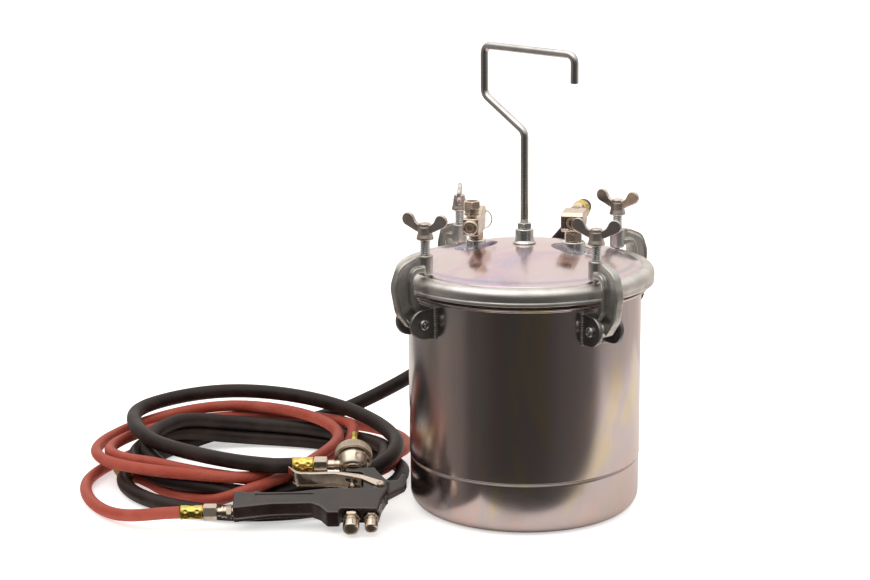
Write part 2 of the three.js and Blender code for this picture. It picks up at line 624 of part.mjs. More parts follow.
const SUPPLY_END = new THREE.Vector3(-416, -34, 8.2);
const SUPPLY_YAW = rad(142);
const FLUID_COIL = { x: -282, y: 35, rx: 132, ry: 128, low: 0.2, high: 32.6 };
const AIR_COIL = { x: -322, y: 45, rx: 160, ry: 125, low: 33, high: 55 };
const COIL_HOLE = 0.58; // inner size of a coil against its outer size

const coil = ({ x, y, rx, ry, low, high }) => moved(
  sleeve(COIL_HOLE, 1, low, high, TANK_FACETS).scale(rx, ry, 1), x, y, 0,
);

add('fluid_hose_lead', hose(FLUID_LEAD, HOSE_R, 26), RUBBER);
add('fluid_hose_coil', coil(FLUID_COIL), RUBBER);
add('fluid_hose_end', hose(FLUID_END, HOSE_R, 7), RUBBER);
add('air_hose_coil', coil(AIR_COIL), RED_RUBBER);
add('air_hose_tail', hose(AIR_TAIL, AIR_HOSE_R, 14), RED_RUBBER);
const supply = add('air_supply_fitting', alongX(
  join(rod(7.6, 0, 22), rod(4.4, 21, 26), hexBar(14.5, 25, 38)),
), BRASS);
supply.position.copy(SUPPLY_END);
supply.rotation.z = SUPPLY_YAW;

export default group;
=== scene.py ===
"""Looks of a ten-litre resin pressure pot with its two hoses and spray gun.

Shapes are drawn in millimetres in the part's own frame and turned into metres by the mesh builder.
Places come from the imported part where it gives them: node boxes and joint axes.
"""
import json
import math

import bmesh
import bpy
import numpy as np
from mathutils import Matrix, Vector, noise
from mathutils.bvhtree import BVHTree


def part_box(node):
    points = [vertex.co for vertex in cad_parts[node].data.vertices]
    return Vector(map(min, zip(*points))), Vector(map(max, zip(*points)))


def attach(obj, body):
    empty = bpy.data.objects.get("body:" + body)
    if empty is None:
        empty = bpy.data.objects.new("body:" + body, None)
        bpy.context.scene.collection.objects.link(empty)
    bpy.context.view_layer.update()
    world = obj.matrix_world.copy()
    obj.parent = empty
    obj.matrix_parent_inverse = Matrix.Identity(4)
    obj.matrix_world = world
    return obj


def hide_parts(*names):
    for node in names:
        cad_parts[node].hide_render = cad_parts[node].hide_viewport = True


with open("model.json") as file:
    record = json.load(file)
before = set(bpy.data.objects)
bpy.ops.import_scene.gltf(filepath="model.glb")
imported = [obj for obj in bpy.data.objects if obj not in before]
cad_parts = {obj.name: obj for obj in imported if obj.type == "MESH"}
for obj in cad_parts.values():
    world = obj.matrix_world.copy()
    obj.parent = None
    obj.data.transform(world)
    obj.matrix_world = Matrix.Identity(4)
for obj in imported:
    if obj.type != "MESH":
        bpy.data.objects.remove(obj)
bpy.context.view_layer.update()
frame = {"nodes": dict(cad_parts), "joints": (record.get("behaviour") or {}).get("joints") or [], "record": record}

MM = 0.001
TAU = 2 * math.pi


# ---------------------------------------------------------------- the frame, in millimetres
def node_box(name):
    """Lowest and highest corner of a CAD node."""
    low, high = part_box(name)
    return Vector(low) / MM, Vector(high) / MM


def joint(name):
    return next(j for j in frame["joints"] if j["name"] == name)


def joint_point(name):
    return Vector(joint(name)["pos_m"]) / MM


def joint_axis(name):
    return Vector(joint(name)["axis"])


def frame_matrix(x_axis, y_axis, z_axis, origin):
    turn = Matrix((x_axis, y_axis, z_axis)).transposed().to_4x4()
    return Matrix.Translation(origin) @ turn


def linked(name, data):
    """New object in the scene."""
    thing = bpy.data.objects.new(name, data)
    bpy.context.scene.collection.objects.link(thing)
    return thing


UP = Vector((0, 0, 1))
GUN_KNOB_MIDDLE = 5  # the knob's joint stands this far from the tail end of the fluid knob
gun_y = -joint_axis("needle_draw")
gun_z = joint_axis("trigger_pull")
gun_x = gun_y.cross(gun_z)
gun_origin = joint_point("fluid_knob_turn") - GUN_KNOB_MIDDLE * gun_y
GUN = frame_matrix(gun_x, gun_y, gun_z, gun_origin)


# ---------------------------------------------------------------- camera
VIEW_AZIMUTH = math.radians(12.43)
VIEW_ELEVATION = math.radians(12.539)
VIEW_ROLL = math.radians(-0.503)
VIEW_PLACE = Vector((312.0, -1839.9, 638.6))
LENS = 77.264


def direction(azimuth, elevation):
    """Unit vector towards a place at an azimuth, counted from the front, and at an elevation."""
    level = math.cos(elevation)
    return Vector((math.sin(azimuth) * level, -math.cos(azimuth) * level, math.sin(elevation)))


def make_camera():
    """The viewing angle of a product picture taken from the front, a little to the right."""
    data = bpy.data.cameras.new("camera")
    data.sensor_width = 36
    data.lens = LENS
    data.clip_end = 60
    camera = linked("camera", data)
    back = direction(VIEW_AZIMUTH, VIEW_ELEVATION)
    turn = (-back).to_track_quat("-Z", "Y").to_matrix().to_4x4()
    place = Matrix.Translation(VIEW_PLACE * MM)
    camera.matrix_world = place @ turn @ Matrix.Rotation(VIEW_ROLL, 4, "Z")
    bpy.context.scene.camera = camera


make_camera()


# ---------------------------------------------------------------- hose routes
HOSE_R = 8.0
AIR_HOSE_R = 6.25

FLUID_LEAD = [
    (50, 58.7, 299.2), (50, 70, 299), (49, 88, 295.5), (43, 110, 285.5), (28, 135, 265), (4, 157, 236.5),
    (-26, 173, 203), (-58, 183, 168), (-92, 188, 134), (-126, 188, 102), (-166, 184, 73), (-204, 179, 52),
    (-240, 173, 34),
]
FLUID_END = [
    (-408, -20, 45.5), (-358, -50, 46), (-316, -71, 47.2), (-280, -84, 48), (-250, -87.5, 48),
    (-227.5, -82.7, 48),
]
AIR_TAIL = [
    (-319.9, -165.1, 19.5), (-339.5, -169.6, 18.6), (-368, -167, 13.2), (-400, -150, 7.8), (-430, -122, 6.5),
    (-453, -88, 6.5), (-467, -50, 6.5), (-466, -10, 6.5), (-452, 50, 6.5), (-422, 115, 6.5), (-350, 172, 8),
]
# The far, left, near and right end of each turn in the order in which the hose passes them.
FLUID_TURNS = [
    (-300, 164, 16), (-431, -20, 8), (-285, -128, 8), (-137, 16, 8),
    (-300, 128, 8), (-434, 20, 22), (-275, -96, 18), (-152, 25, 24),
    (-310, 128, 24), (-424, 25, 36), (-278, -80, 16), (-141, 4, 37),
    (-350, 162, 54), (-466, 54, 47),
]
AIR_TURNS = [
    (-262, 190, 12), (-146, 80, 16), (-290, -76, 29), (-459, -6, 30),
    (-300, 150, 30), (-205, 80, 26), (-290, -94, 34), (-480, 20, 26),
    (-345, 140, 42), (-211, 32, 38), (-300, -106, 17),
]
HOSE_STEP = 6.0  # from one point of a route to the next
HOSE_APART = 60  # stretches of one hose closer along it than this don't push each other
HELD = [(60, 8), (12, 6)]  # points held at the start and the end of the fluid hose and the air hose
SUPPLY_END = Vector((-416, -34, 8.2))
SUPPLY_YAW = math.radians(142)
supply_way = Vector((math.cos(SUPPLY_YAW), math.sin(SUPPLY_YAW), 0))
AIR_END = [SUPPLY_END - supply_way * k for k in (60, 30, 12, 0.3)]
GUN_NODES = [n for n in frame["nodes"] if n.startswith("gun_")] + [
    "fluid_hose_nut", "fluid_hose_ferrule", "air_hose_nut", "air_hose_ferrule"]


def turn_points(ends, per_quarter=6):
    """Points along quarter ellipses between the ends of the turns; the first end is a far one."""
    points = []
    for i in range(len(ends) - 1):
        (ax, ay, az), (bx, by, bz) = ends[i], ends[i + 1]
        for k in range(per_quarter):
            t = math.pi / 2 * k / per_quarter
            z = az + (bz - az) * (1 - math.cos(2 * t)) / 2
            if i % 2 == 0:
                points.append((ax + (bx - ax) * math.sin(t), by + (ay - by) * math.cos(t), z))
            else:
                points.append((bx + (ax - bx) * math.cos(t), ay + (by - ay) * math.sin(t), z))
    return points


def spline(points, step):
    """Points a step apart on the centripetal Catmull-Rom curve through the given points."""
    p = np.array(points, float)
    p = np.vstack([2 * p[0] - p[1], p, 2 * p[-1] - p[-2]])
    fine = []
    for a, b, c, d in zip(p, p[1:], p[2:], p[3:]):
        t1 = np.sqrt(np.linalg.norm(b - a))
        t2 = t1 + np.sqrt(np.linalg.norm(c - b))
        t3 = t2 + np.sqrt(np.linalg.norm(d - c))
        for t in np.linspace(t1, t2, 12, endpoint=False):
            ab = (t1 - t) / t1 * a + t / t1 * b
            bc = (t2 - t) / (t2 - t1) * b + (t - t1) / (t2 - t1) * c
            cd = (t3 - t) / (t3 - t2) * c + (t - t2) / (t3 - t2) * d
            low = (t2 - t) / t2 * ab + t / t2 * bc
            high = (t3 - t) / (t3 - t1) * bc + (t - t1) / (t3 - t1) * cd
            fine.append((t2 - t) / (t2 - t1) * low + (t - t1) / (t2 - t1) * high)
    fine.append(p[-2])
    return evenly(np.array(fine), step)


def evenly(points, step):
    """Points along a line of points, nearly a step apart."""
    along = np.concatenate([[0], np.cumsum(np.linalg.norm(np.diff(points, axis=0), axis=1))])
    places = np.linspace(0, along[-1], max(2, round(along[-1] / step) + 1))
    return np.stack([np.interp(places, along, points[:, k]) for k in range(3)], axis=1)


def smoothed(points, rounds, held):
    """Evens out the bends of a route, apart from a number of held points at each end."""
    p = points.copy()
    for _ in range(rounds):
        p[held:-held] += 0.5 * ((p[held - 1:-held - 1] + p[held + 1:len(p) - held + 1]) / 2 - p[held:-held])
    return p


def ceiling_over(points, radius, nodes):
    """Height of the lowest solid above each point, looked for across the hose's width."""
    roofs = np.full(len(points), 1e6)
    for name in nodes:
        tree = BVHTree.FromObject(frame["nodes"][name], bpy.context.evaluated_depsgraph_get())
        for i, (x, y, _) in enumerate(points):
            for k in range(9):
                reach = 0 if k == 0 else radius * 0.9
                a = TAU * k / 8
                start = Vector((x + reach * math.cos(a), y + reach * math.sin(a), -1)) * MM
                hit = tree.ray_cast(start, UP)[0]
                if hit is not None:
                    drop = radius - math.sqrt(radius ** 2 - reach ** 2)
                    roofs[i] = min(roofs[i], hit.z / MM + drop)
    return roofs


def settled(routes, radii, held, rounds=120):
    """Lets the hoses sink until they lie on the floor and on each other, close to the routes given."""
    aim = np.vstack(routes)
    radius = np.concatenate([np.full(len(r), q) for r, q in zip(routes, radii)])
    hose = np.concatenate([np.full(len(r), k) for k, r in enumerate(routes)])
    place = np.arange(len(aim)) * HOSE_STEP
    fixed = np.concatenate([(np.arange(len(r)) < a) | (np.arange(len(r)) >= len(r) - b)
                            for r, (a, b) in zip(routes, held)])
    roof = np.concatenate([ceiling_over(r, q, GUN_NODES) for r, q in zip(routes, radii)])
    middle = np.nonzero((hose[1:-1] == hose[:-2]) & (hose[1:-1] == hose[2:]))[0] + 1
    apart = (hose[:, None] != hose[None]) | (abs(place[:, None] - place[None]) > HOSE_APART)
    reach = radius[:, None] + radius[None] + 0.2
    shift = np.zeros_like(aim)
    for n in range(rounds):
        shift[middle] += 0.5 * ((shift[middle - 1] + shift[middle + 1]) / 2 - shift[middle])
        shift[:, :2] *= 0.99
        p = aim + shift
        if n % 8 == 0:
            gaps = np.linalg.norm(p[:, None] - p[None], axis=2)
            i, j = np.nonzero(np.triu(apart & (gaps < reach + 5)))
        for _ in range(3):
            way = p[i] - p[j]
            far = np.linalg.norm(way, axis=1) + 1e-6
            push = np.maximum(reach[i, j] - far, 0)[:, None] * way / far[:, None] / 2
            total, count = np.zeros_like(p), np.zeros(len(p))
            np.add.at(total, i, push)
            np.add.at(total, j, -push)
            np.add.at(count, i, push.any(axis=1))
            np.add.at(count, j, push.any(axis=1))
            p += 1.3 * total / np.maximum(count, 1)[:, None]
            p[:, 2] = np.maximum(np.minimum(p[:, 2], roof - radius - 0.3), radius + 0.2)
            p[fixed] = aim[fixed]
        shift = p - aim
    count = np.cumsum([0] + [len(r) for r in routes])
    return [evenly(p[a:b], HOSE_STEP) for a, b in zip(count, count[1:])]


fluid_plan = spline(FLUID_LEAD + turn_points(FLUID_TURNS) + FLUID_END, HOSE_STEP)
air_plan = spline(AIR_TAIL + turn_points(AIR_TURNS) + AIR_END, HOSE_STEP)
fluid_route, air_route = settled([smoothed(fluid_plan, 22, 4), smoothed(air_plan, 14, 4)],
                                 [HOSE_R, AIR_HOSE_R], HELD)


# ---------------------------------------------------------------- mesh helpers, all in millimetres
def lathe(profile, sides=96):
    """Turned shape about Z from (radius, height) pairs; a profile that ends on the axis is closed there."""
    points, faces, rows = [], [], []
    for r, z in profile:
        if r < 1e-6:
            rows.append([len(points)])
            points.append((0, 0, z))
        else:
            rows.append(list(range(len(points), len(points) + sides)))
            points += [(r * math.cos(TAU * k / sides), r * math.sin(TAU * k / sides), z) for k in range(sides)]
    for a, b in zip(rows, rows[1:]):
        for k in range(sides):
            n = (k + 1) % sides
            if len(a) == 1 and len(b) > 1:
                faces.append((a[0], b[k], b[n]))
            elif len(b) == 1 and len(a) > 1:
                faces.append((a[k], b[0], a[n]))
            elif len(a) > 1:
                faces.append((a[k], b[k], b[n], a[n]))
    return points, faces


def rod(radius, low, high, sides=48):
    """Plain cylinder about Z."""
    return lathe([(0, low), (radius, low), (radius, high), (0, high)], sides)


def hoop(profile, sides=96):
    """Turned ring whose section is the closed outline of (radius, height) pairs."""
    points, faces = lathe([*profile, profile[0]], sides)
    count = len(profile) * sides
    return points[:count], [tuple(i % count for i in face) for face in faces]


def polar(radius_at, heights, sides=96):
    """Closed shape whose radius depends on angle and height."""
    points = [(0, 0, heights[0])]
    for z in heights:
        for k in range(sides):
            a = TAU * k / sides
            r = radius_at(a, z)
            points.append((r * math.cos(a), r * math.sin(a), z))
    points.append((0, 0, heights[-1]))
    faces = []
    for row in range(len(heights) - 1):
        base = 1 + row * sides
        for k in range(sides):
            n = (k + 1) % sides
            faces.append((base + k, base + sides + k, base + sides + n, base + n))
    last = 1 + (len(heights) - 1) * sides
    for k in range(sides):
        n = (k + 1) % sides
        faces.append((0, 1 + k, 1 + n))
        faces.append((len(points) - 1, last + n, last + k))
    return points, faces


def steps(low, high, count):
    return [low + (high - low) * i / count for i in range(count + 1)]


def hexagon(flats, low, high, chamfer=0.9, turn=0.0):
    """Hexagonal nut with its corners turned off at both ends."""
    corner_angle = math.pi / 3

    def radius_at(a, z):
        flat = flats / 2 / math.cos((a + turn) % corner_angle - corner_angle / 2)
        end = min(z - low, high - z)
        return min(flat, flats / 2 - 0.25 + end * 1.9)

    heights = [low, low + chamfer * 0.3, low + chamfer * 0.65, low + chamfer, low + chamfer * 1.5]
    heights += [high - chamfer * 1.5, high - chamfer, high - chamfer * 0.65, high - chamfer * 0.3, high]
    return polar(radius_at, heights, 96)


def thread(radius, low, high, pitch=1.5, depth=0.75, sides=40):
    """Screw thread about Z with a rounded crest."""
    def radius_at(a, z):
        phase = (z / pitch - a / TAU) % 1
        fade = min(1, (z - low) / pitch, (high - z) / pitch)
        return radius - depth * (1 - fade * min(1, 1.5 * (1 - abs(2 * phase - 1))))

    return polar(radius_at, steps(low, high, max(4, round((high - low) / pitch * 7))), sides)


def tube(path, radius, sides=20):
    """Round bar or hose along a path, with one radius or a radius for each point."""
    p = [Vector(q) for q in path]
    radii = radius if hasattr(radius, "__len__") else [radius] * len(p)
    tangents = [(p[min(i + 1, len(p) - 1)] - p[max(i - 1, 0)]).normalized() for i in range(len(p))]
    side = tangents[0].orthogonal().normalized()
    points, faces = [], []
    for i, t in enumerate(tangents):
        side = (side - t * side.dot(t)).normalized()
        other = t.cross(side)
        for k in range(sides):
            a = TAU * k / sides
            points.append(tuple(p[i] + radii[i] * (math.cos(a) * side + math.sin(a) * other)))
    for i in range(len(p) - 1):
        for k in range(sides):
            n = (k + 1) % sides
            faces.append((i * sides + k, (i + 1) * sides + k, (i + 1) * sides + n, i * sides + n))
    faces.append(tuple(range(sides)))
    faces.append(tuple(reversed(range(len(points) - sides, len(points)))))
    return points, faces


def rounded(corners, arc=5):
    """Outline from corners given as (x, y) or (x, y, radius of the corner)."""
    outline = []
    for i, corner in enumerate(corners):
        here = Vector(corner[:2])
        if len(corner) == 2:
            outline.append(tuple(here))
            continue
        back = (Vector(corners[i - 1][:2]) - here)
        on = (Vector(corners[(i + 1) % len(corners)][:2]) - here)
        half = back.angle(on) / 2
        reach = min(corner[2] / math.tan(half), back.length * 0.49, on.length * 0.49)
        a, b = here + back.normalized() * reach, here + on.normalized() * reach
        for k in range(arc + 1):
            t = k / arc
            outline.append(tuple((1 - t) ** 2 * a + 2 * t * (1 - t) * here + t ** 2 * b))
    return outline


def prism(outline, low, high, bevel=0.0, segments=3):
    """Outline in the XY plane raised between two heights, its rims rounded off."""
    bm = bmesh.new()
    face = bm.faces.new([bm.verts.new((x, y, low)) for x, y in outline])
    made = bmesh.ops.extrude_face_region(bm, geom=[face])
    bmesh.ops.translate(bm, verts=[v for v in made["geom"] if isinstance(v, bmesh.types.BMVert)],
                        vec=(0, 0, high - low))
    bmesh.ops.recalc_face_normals(bm, faces=bm.faces)
    if bevel:
        rims = [e for e in bm.edges if abs(e.verts[0].co.z - e.verts[1].co.z) < 1e-6]
        bmesh.ops.bevel(bm, geom=rims, offset=bevel, segments=segments, profile=0.5, affect="EDGES",
                        clamp_overlap=True)
    return taken(bm)


def block(low, high, bevel=0.6):
    """Box between two corners with every edge rounded off."""
    bm = bmesh.new()
    bmesh.ops.create_cube(bm, size=1)
    low, high = Vector(low), Vector(high)
    for v in bm.verts:
        v.co = Vector((low[k] + (v.co[k] + 0.5) * (high[k] - low[k]) for k in range(3)))
    bmesh.ops.bevel(bm, geom=list(bm.edges), offset=bevel, segments=3, profile=0.5, affect="EDGES")
    return taken(bm)


def taken(bm):
    """Points and faces of a bmesh, which is freed."""
    bm.verts.index_update()
    data = [tuple(v.co) for v in bm.verts], [tuple(v.index for v in f.verts) for f in bm.faces]
    bm.free()
    return data


def merged(*shapes):
    """Shapes as one, left as they are where they overlap."""
    points, faces = [], []
    for more_points, more_faces in shapes:
        faces += [tuple(i + len(points) for i in f) for f in more_faces]
        points += list(more_points)
    return points, faces


def placed(shape, matrix):
    return [tuple(matrix @ Vector(p)) for p in shape[0]], shape[1]


def shifted(shape, x=0.0, y=0.0, z=0.0):
    return placed(shape, Matrix.Translation((x, y, z)))


def along_x(shape, x=0.0, y=0.0, z=0.0):
    """Shape about Z laid along X, then shifted."""
    return shifted(placed(shape, Matrix.Rotation(math.pi / 2, 4, "Y")), x, y, z)


def along_y(shape, x=0.0, y=0.0, z=0.0):
    """Shape about Z laid along Y, then shifted."""
    return shifted(placed(shape, Matrix.Rotation(-math.pi / 2, 4, "X")), x, y, z)


def standing(shape):
    """Shape in the XY plane stood up in the XZ plane."""
    return placed(shape, Matrix.Rotation(math.pi / 2, 4, "X"))


def arc(center_r, center_z, radius, start, stop, count):
    """Points of an arc in a profile or outline, between two angles in degrees."""
    angles = [math.radians(start + (stop - start) * i / count) for i in range(count + 1)]
    return [(center_r + radius * math.cos(a), center_z + radius * math.sin(a)) for a in angles]


def mesh_of(shape, name="scratch"):
    """Mesh in metres of a shape in millimetres, its faces all turned outwards."""
    mesh = bpy.data.meshes.new(name)
    mesh.from_pydata([Vector(p) * MM for p in shape[0]], [], shape[1])
    mesh.validate()
    bm = bmesh.new()
    bm.from_mesh(mesh)
    bmesh.ops.recalc_face_normals(bm, faces=bm.faces)
    bm.to_mesh(mesh)
    bm.free()
    return mesh


def reshaped(shape, *modifiers):
    """Shape after a list of (modifier type, settings)."""
    thing = linked("scratch", mesh_of(shape))
    for kind, settings in modifiers:
        modifier = thing.modifiers.new(kind, kind)
        for key, value in settings.items():
            setattr(modifier, key, value)
    graph = bpy.context.evaluated_depsgraph_get()
    mesh = bpy.data.meshes.new_from_object(thing.evaluated_get(graph))
    bpy.data.objects.remove(thing)
    return [tuple(v.co / MM) for v in mesh.vertices], [tuple(f.vertices) for f in mesh.polygons]


def cast(shapes, voxel=0.7, rounds=6):
    """Shapes melted into one body with small fillets where they meet, as a casting has."""
    return reshaped(merged(*shapes), ("REMESH", dict(mode="VOXEL", voxel_size=voxel * MM, adaptivity=0)),
                    ("SMOOTH", dict(factor=0.5, iterations=rounds)))


def carved(shape, *tools):
    """Shape with the tools cut out of it."""
    thing = linked("scratch", mesh_of(shape))
    cutters = []
    for tool in tools:
        cutter = linked("cutter", mesh_of(tool))
        modifier = thing.modifiers.new("cut", "BOOLEAN")
        modifier.operation, modifier.solver, modifier.object = "DIFFERENCE", "MANIFOLD", cutter
        cutters.append(cutter)
    graph = bpy.context.evaluated_depsgraph_get()
    mesh = bpy.data.meshes.new_from_object(thing.evaluated_get(graph))
    for old in [thing, *cutters]:
        bpy.data.objects.remove(old)
    return [tuple(v.co / MM) for v in mesh.vertices], [tuple(f.vertices) for f in mesh.polygons]


def bored(shape, radius, low, high):
    """Shape with a hole about Z."""
    return carved(shape, rod(radius, low, high))


NODE_BODY = {n: body for body, nodes in frame["record"]["behaviour"]["bodies"].items() for n in nodes}


def piece(name, shape, look, node, stands_for=True, sharp=38, place=None):
    """Visible piece in a given look, on the body of its CAD node, replacing that node unless told not to."""
    if place is not None:
        shape = placed(shape, place)
    mesh = mesh_of(shape, name)
    mesh.materials.append(look)
    thing = linked(name, mesh)
    mesh.shade_smooth()
    mesh.set_sharp_from_angle(angle=math.radians(sharp))
    flats = thing.modifiers.new("flat_faces", "WEIGHTED_NORMAL")
    flats.keep_sharp = True
    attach(thing, NODE_BODY[node])
    if stands_for:
        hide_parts(node)
    return thing


# ---------------------------------------------------------------- materials
class Look:
    """A principled material and the nodes that vary it; sizes of its patterns are per metre."""

    def __init__(self, name, color, metallic=0.0, roughness=0.5, coat=0.0, coat_roughness=0.1, sheen=0.0):
        self.material = bpy.data.materials.new(name)
        self.material.use_nodes = True
        self.tree = self.material.node_tree
        self.shader = self.tree.nodes["Principled BSDF"]
        self.set("Base Color", (*color, 1))
        self.set("Metallic", metallic)
        self.set("Roughness", roughness)
        self.set("Coat Weight", coat)
        self.set("Coat Roughness", coat_roughness)
        self.set("Sheen Weight", sheen)
        self.bumped = None

    def set(self, socket, value):
        self.shader.inputs[socket].default_value = value

    def node(self, kind, **settings):
        made = self.tree.nodes.new(kind)
        for key, value in settings.items():
            setattr(made, key, value)
        return made

    def link(self, source, target):
        self.tree.links.new(source, target)

    def coords(self, stretch=(1, 1, 1), space="Object"):
        source = self.node("ShaderNodeTexCoord").outputs[space]
        mapping = self.node("ShaderNodeMapping")
        mapping.inputs["Scale"].default_value = stretch
        self.link(source, mapping.inputs["Vector"])
        return mapping.outputs["Vector"]

    def noise(self, scale, detail=4.0, stretch=(1, 1, 1), distortion=0.0, space="Object"):
        made = self.node("ShaderNodeTexNoise")
        made.inputs["Scale"].default_value = scale
        made.inputs["Detail"].default_value = detail
        made.inputs["Distortion"].default_value = distortion
        self.link(self.coords(stretch, space), made.inputs["Vector"])
        return made.outputs["Fac"]

    def axis(self, name):
        """One of the object's own coordinates, in metres."""
        split = self.node("ShaderNodeSeparateXYZ")
        self.link(self.coords(), split.inputs[0])
        return split.outputs[name]

    def math(self, operation, a, b=0.0):
        made = self.node("ShaderNodeMath", operation=operation)
        for socket, value in zip(made.inputs, (a, b)):
            if isinstance(value, (int, float)):
                socket.default_value = value
            else:
                self.link(value, socket)
        return made.outputs[0]

    def levels(self, source, low, high, to_low=0.0, to_high=1.0):
        made = self.node("ShaderNodeMapRange")
        for key, value in zip(("From Min", "From Max", "To Min", "To Max"), (low, high, to_low, to_high)):
            made.inputs[key].default_value = value
        self.link(source, made.inputs["Value"])
        return made.outputs["Result"]

    def ramp(self, source, stops):
        made = self.node("ShaderNodeValToRGB")
        points = made.color_ramp.elements
        while len(points) < len(stops):
            points.new(0.5)
        for point, (place, color) in zip(points, stops):
            point.position = place
            point.color = (*color, 1)
        self.link(source, made.inputs["Fac"])
        return made.outputs["Color"]

    def mix(self, share, a, b, blend="MIX"):
        made = self.node("ShaderNodeMix", data_type="RGBA", blend_type=blend)
        color_a, color_b = [socket for socket in made.inputs if socket.type == "RGBA"]
        for socket, value in ((made.inputs[0], share), (color_a, a), (color_b, b)):
            if isinstance(value, tuple):
                socket.default_value = (*value, 1)
            elif isinstance(value, (int, float)):
                socket.default_value = value
            else:
                self.link(value, socket)
        return next(socket for socket in made.outputs if socket.type == "RGBA")

    def color(self, source):
        self.link(source, self.shader.inputs["Base Color"])

    def rough(self, source, low, high):
        self.link(self.levels(source, 0.3, 0.7, low, high), self.shader.inputs["Roughness"])

    def bump(self, source, height, strength=1.0):
        """Bump of a height in millimetres; several add up."""
        made = self.node("ShaderNodeBump")
        made.inputs["Strength"].default_value = strength
        made.inputs["Distance"].default_value = height * MM
        self.link(source, made.inputs["Height"])
        if self.bumped is not None:
            self.link(self.bumped, made.inputs["Normal"])
        self.bumped = made.outputs["Normal"]
        self.link(self.bumped, self.shader.inputs["Normal"])


def sheet_zinc():
    """Plated sheet: faint rainbow clouds, fine upright scratches and a few dull smears."""
    look = Look("sheet_zinc", (0.66, 0.63, 0.65), metallic=1.0, roughness=0.24)
    clouds = look.noise(9, 3, (1, 1, 0.45), 0.8)
    tint = look.ramp(clouds,
                     [(0.30, (0.42, 0.45, 0.54)), (0.42, (0.66, 0.59, 0.55)), (0.50, (0.73, 0.57, 0.54)),
                              (0.58, (0.64, 0.56, 0.58)), (0.66, (0.78, 0.64, 0.42)),
                              (0.76, (0.54, 0.56, 0.58))])
    scratches = look.noise(900, 2, (1, 1, 0.018))
    smears = look.noise(16, 3, (1, 1, 0.6), 0.3)
    tint = look.mix(look.levels(scratches, 0.35, 0.75, 0.0, 0.28), tint, (0.78, 0.72, 0.70))
    tint = look.mix(look.levels(smears, 0.5, 0.75, 0.0, 0.3), tint, (0.48, 0.44, 0.43))
    look.color(tint)
    look.rough(smears, 0.13, 0.24)
    look.bump(scratches, 0.004)
    look.bump(look.noise(9, 1), 0.2, 0.4)
    return look.material


def lid_zinc():
    """Glossier plate with pink and lavender clouds, a blue line round the foot of the dome, and painted shade in
    dark blue on the seats round the ports.
    """
    look = Look("lid_zinc", (0.82, 0.72, 0.76), metallic=1.0, roughness=0.2)
    clouds = look.noise(11, 3, (1, 1, 1), 0.7)
    tint = look.ramp(clouds,
                     [(0.30, (0.60, 0.60, 0.74)), (0.42, (0.78, 0.62, 0.70)), (0.52, (0.84, 0.70, 0.72)),
                              (0.62, (0.80, 0.72, 0.70)), (0.72, (0.76, 0.62, 0.74))])
    across = look.axis("X")
    along = look.axis("Y")
    radius = look.math("SQRT", look.math("ADD", look.math("MULTIPLY", across, across),
                                         look.math("MULTIPLY", along, along)))
    ring = look.math("ABSOLUTE", look.math("SUBTRACT", radius, 0.1105))
    tint = look.mix(look.levels(ring, 0.0, 0.004, 0.5, 0.0), tint, (0.42, 0.46, 0.62))
    # painted shade: the seats round the ports are mixed towards dark blue, as if shade lay in them
    ports = look.math("SUBTRACT", look.math("ABSOLUTE", across), port_x * MM)
    near_port = look.math("SQRT", look.math("ADD", look.math("MULTIPLY", ports, ports),
                                            look.math("MULTIPLY", along, along)))
    tint = look.mix(look.levels(near_port, 0.017, 0.0235, 0.8, 0.0), tint, (0.30, 0.36, 0.50))
    scuffs = look.noise(420, 3, (1, 0.12, 1))
    tint = look.mix(look.levels(scuffs, 0.5, 0.85, 0.0, 0.25), tint, (0.9, 0.88, 0.86))
    look.color(tint)
    look.rough(look.noise(30, 4), 0.13, 0.26)
    look.bump(look.noise(18, 2), 0.2, 0.5)
    look.bump(scuffs, 0.003)
    return look.material


def grained_zinc(name, color, dark, roughness=(0.28, 0.46), grain=0.05, scale=900, edge_highlight=None):
    """Plate over a coarse surface: fine grain, blotches, and a painted highlight on the edges."""
    look = Look(name, color, metallic=1.0, roughness=0.4)
    blotches = look.noise(60, 5)
    fine = look.noise(scale, 3)
    tint = look.mix(look.levels(blotches, 0.35, 0.7), color, dark)
    tint = look.mix(look.levels(fine, 0.45, 0.75, 0.0, 0.5), tint, dark)
    # painted highlight: sharp edges, found by pointiness, are mixed towards a bright colour
    if edge_highlight is not None:
        edges = look.node("ShaderNodeNewGeometry").outputs["Pointiness"]
        tint = look.mix(look.levels(edges, 0.515, 0.56), tint, edge_highlight)
    look.color(tint)
    look.rough(blotches, *roughness)
    look.bump(fine, grain)
    look.bump(blotches, 0.12, 0.6)
    return look.material


def polished(name, color, shade, roughness=(0.1, 0.22), grain=0.004):
    """Bright plate with a slight waviness and fingermarks."""
    look = Look(name, color, metallic=1.0, roughness=0.16)
    marks = look.noise(120, 5, (1, 1, 1), 0.6)
    look.color(look.mix(look.levels(marks, 0.45, 0.8), color, shade))
    look.rough(marks, *roughness)
    look.bump(look.noise(1400, 2, (1, 1, 1)), grain)
    look.bump(look.noise(160, 2), 0.03, 0.5)
    return look.material


